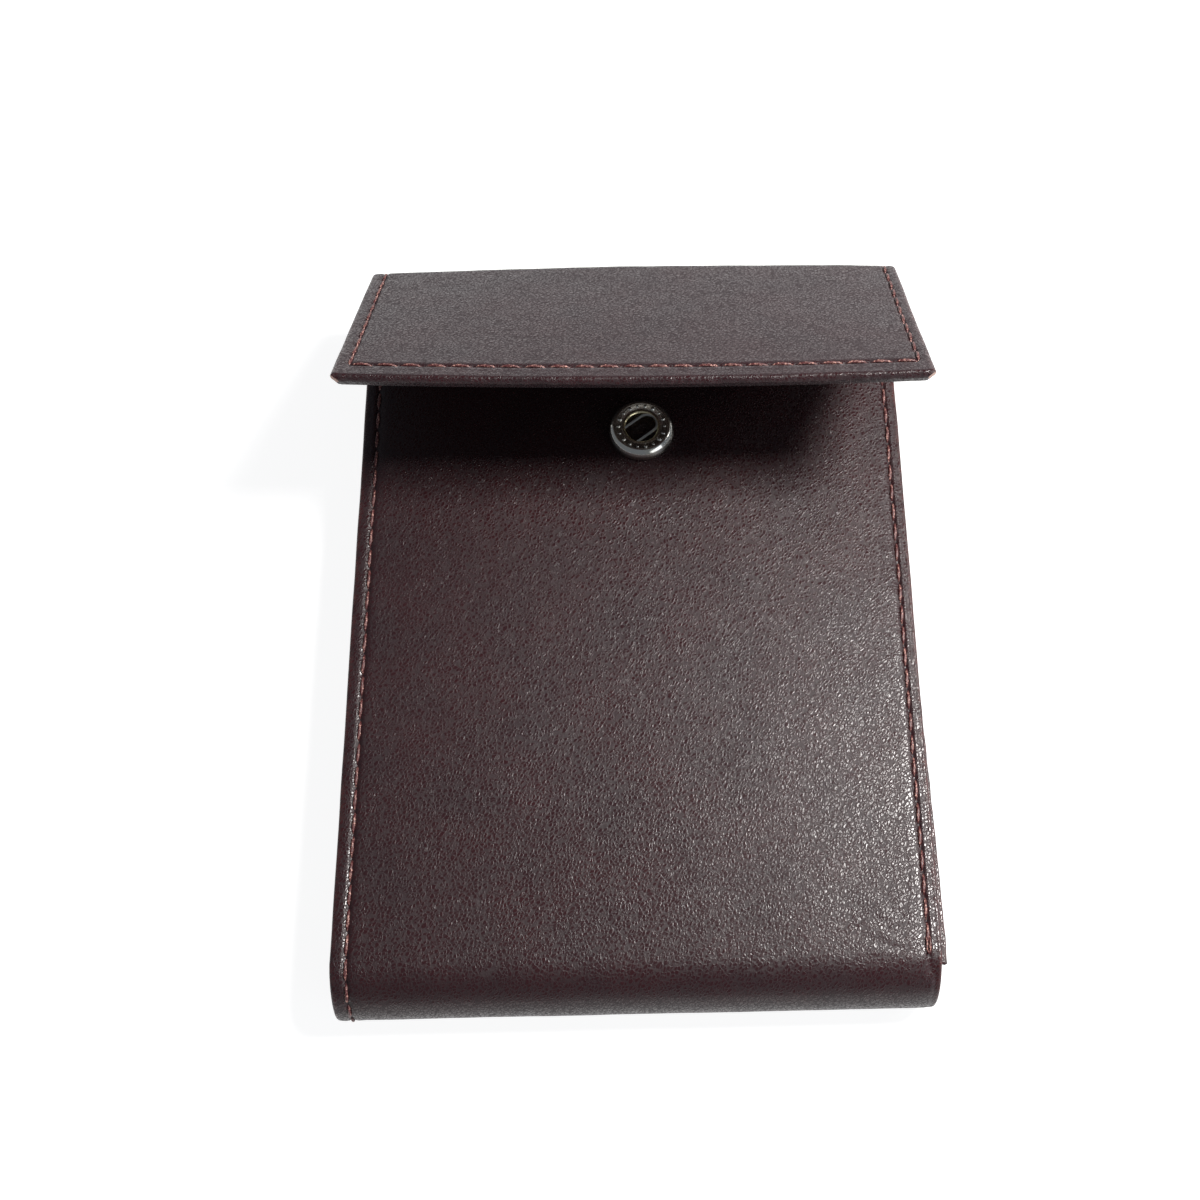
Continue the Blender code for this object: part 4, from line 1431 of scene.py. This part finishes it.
# ------------------------------------------------------------------ operators and panel


class CARDCASE_OT_outer_leather(bpy.types.Operator):
    """Make the outer leather: front, bottom fold, back, spine and flap"""

    bl_idname = "card_case.outer_leather"
    bl_label = "Outer Leather"

    def execute(self, context):
        build_front()
        build_back()
        build_flap()
        return {"FINISHED"}


class CARDCASE_OT_linings(bpy.types.Operator):
    """Make the lining cloth and the flap's board, and finish the other boards"""

    bl_idname = "card_case.linings"
    bl_label = "Linings and Boards"

    def execute(self, context):
        build_linings()
        board = once("pressed_board", board_material)
        finish_nodes(board, "front_board", "back_board")
        return {"FINISHED"}


class CARDCASE_OT_gussets(bpy.types.Operator):
    """Make the folded side walls"""

    bl_idname = "card_case.gussets"
    bl_label = "Gussets"

    def execute(self, context):
        build_gusset("left_side_gusset", -1, HALF_WIDTH - 0.3 * MM, 0, 0.3, "left_gusset")
        build_gusset(
            "right_side_gusset", 1, HALF_WIDTH + 0.70 * MM, 0.95 * MM, 1.0, "right_gusset"
        )
        return {"FINISHED"}


class CARDCASE_OT_seams(bpy.types.Operator):
    """Sew every seam, stitch by stitch"""

    bl_idname = "card_case.seams"
    bl_label = "Seams"

    def execute(self, context):
        build_seams()
        return {"FINISHED"}


class CARDCASE_OT_snap(bpy.types.Operator):
    """Make the snap's ring and post, and finish its spring, stud and rivet"""

    bl_idname = "card_case.snap"
    bl_label = "Snap"

    def execute(self, context):
        build_snap()
        return {"FINISHED"}


class CARDCASE_OT_stage(bpy.types.Operator):
    """Set the floor, the lights, the room and the camera"""

    bl_idname = "card_case.stage"
    bl_label = "Stage"

    def execute(self, context):
        stage = settings().stage
        build_floor()
        build_room(stage.sky)
        power = stage.key_power
        add_light("key_light", (0.155, 0.030, 0.270), 0.08, 0.08, power, (1.0, 0.985, 0.96))
        add_light("side_light", (0.430, 0.130, 0.220), 0.16, 0.16, 0.22 * power)
        add_light("front_light", (0.345, -0.310, 0.190), 0.30, 0.20, 0.18 * power, (0.88, 0.93, 1))
        add_camera()
        context.scene.view_settings.view_transform = "Standard"
        return {"FINISHED"}


class CARDCASE_PT_panel(bpy.types.Panel):
    """Settings and steps of the card case"""

    bl_idname = "CARDCASE_PT_panel"
    bl_label = "Card Case"
    bl_space_type = "VIEW_3D"
    bl_region_type = "UI"
    bl_category = "Card Case"

    def draw(self, context):
        layout = self.layout
        case = context.scene.card_case
        for group in (case.leather, case.seams, case.trim, case.stage):
            box = layout.box()
            for name in group.bl_rna.properties.keys():
                if name not in ("rna_type", "name"):
                    box.prop(group, name)
        for operator in OPERATORS:
            layout.operator(operator.bl_idname)


OPERATORS = (
    CARDCASE_OT_outer_leather,
    CARDCASE_OT_linings,
    CARDCASE_OT_gussets,
    CARDCASE_OT_seams,
    CARDCASE_OT_snap,
    CARDCASE_OT_stage,
)
GROUPS = (LeatherSettings, SeamSettings, TrimSettings, StageSettings, CaseSettings)
CLASSES = (*GROUPS, *OPERATORS, CARDCASE_PT_panel)


def register():
    for kind in CLASSES:
        bpy.utils.register_class(kind)
    bpy.types.Scene.card_case = bpy.props.PointerProperty(type=CaseSettings)


def unregister():
    del bpy.types.Scene.card_case
    for kind in reversed(CLASSES):
        bpy.utils.unregister_class(kind)


def main():
    register()
    bpy.ops.card_case.outer_leather()
    bpy.ops.card_case.linings()
    bpy.ops.card_case.gussets()
    bpy.ops.card_case.seams()
    bpy.ops.card_case.snap()
    bpy.ops.card_case.stage()


if __name__ == "__main__":
    main()
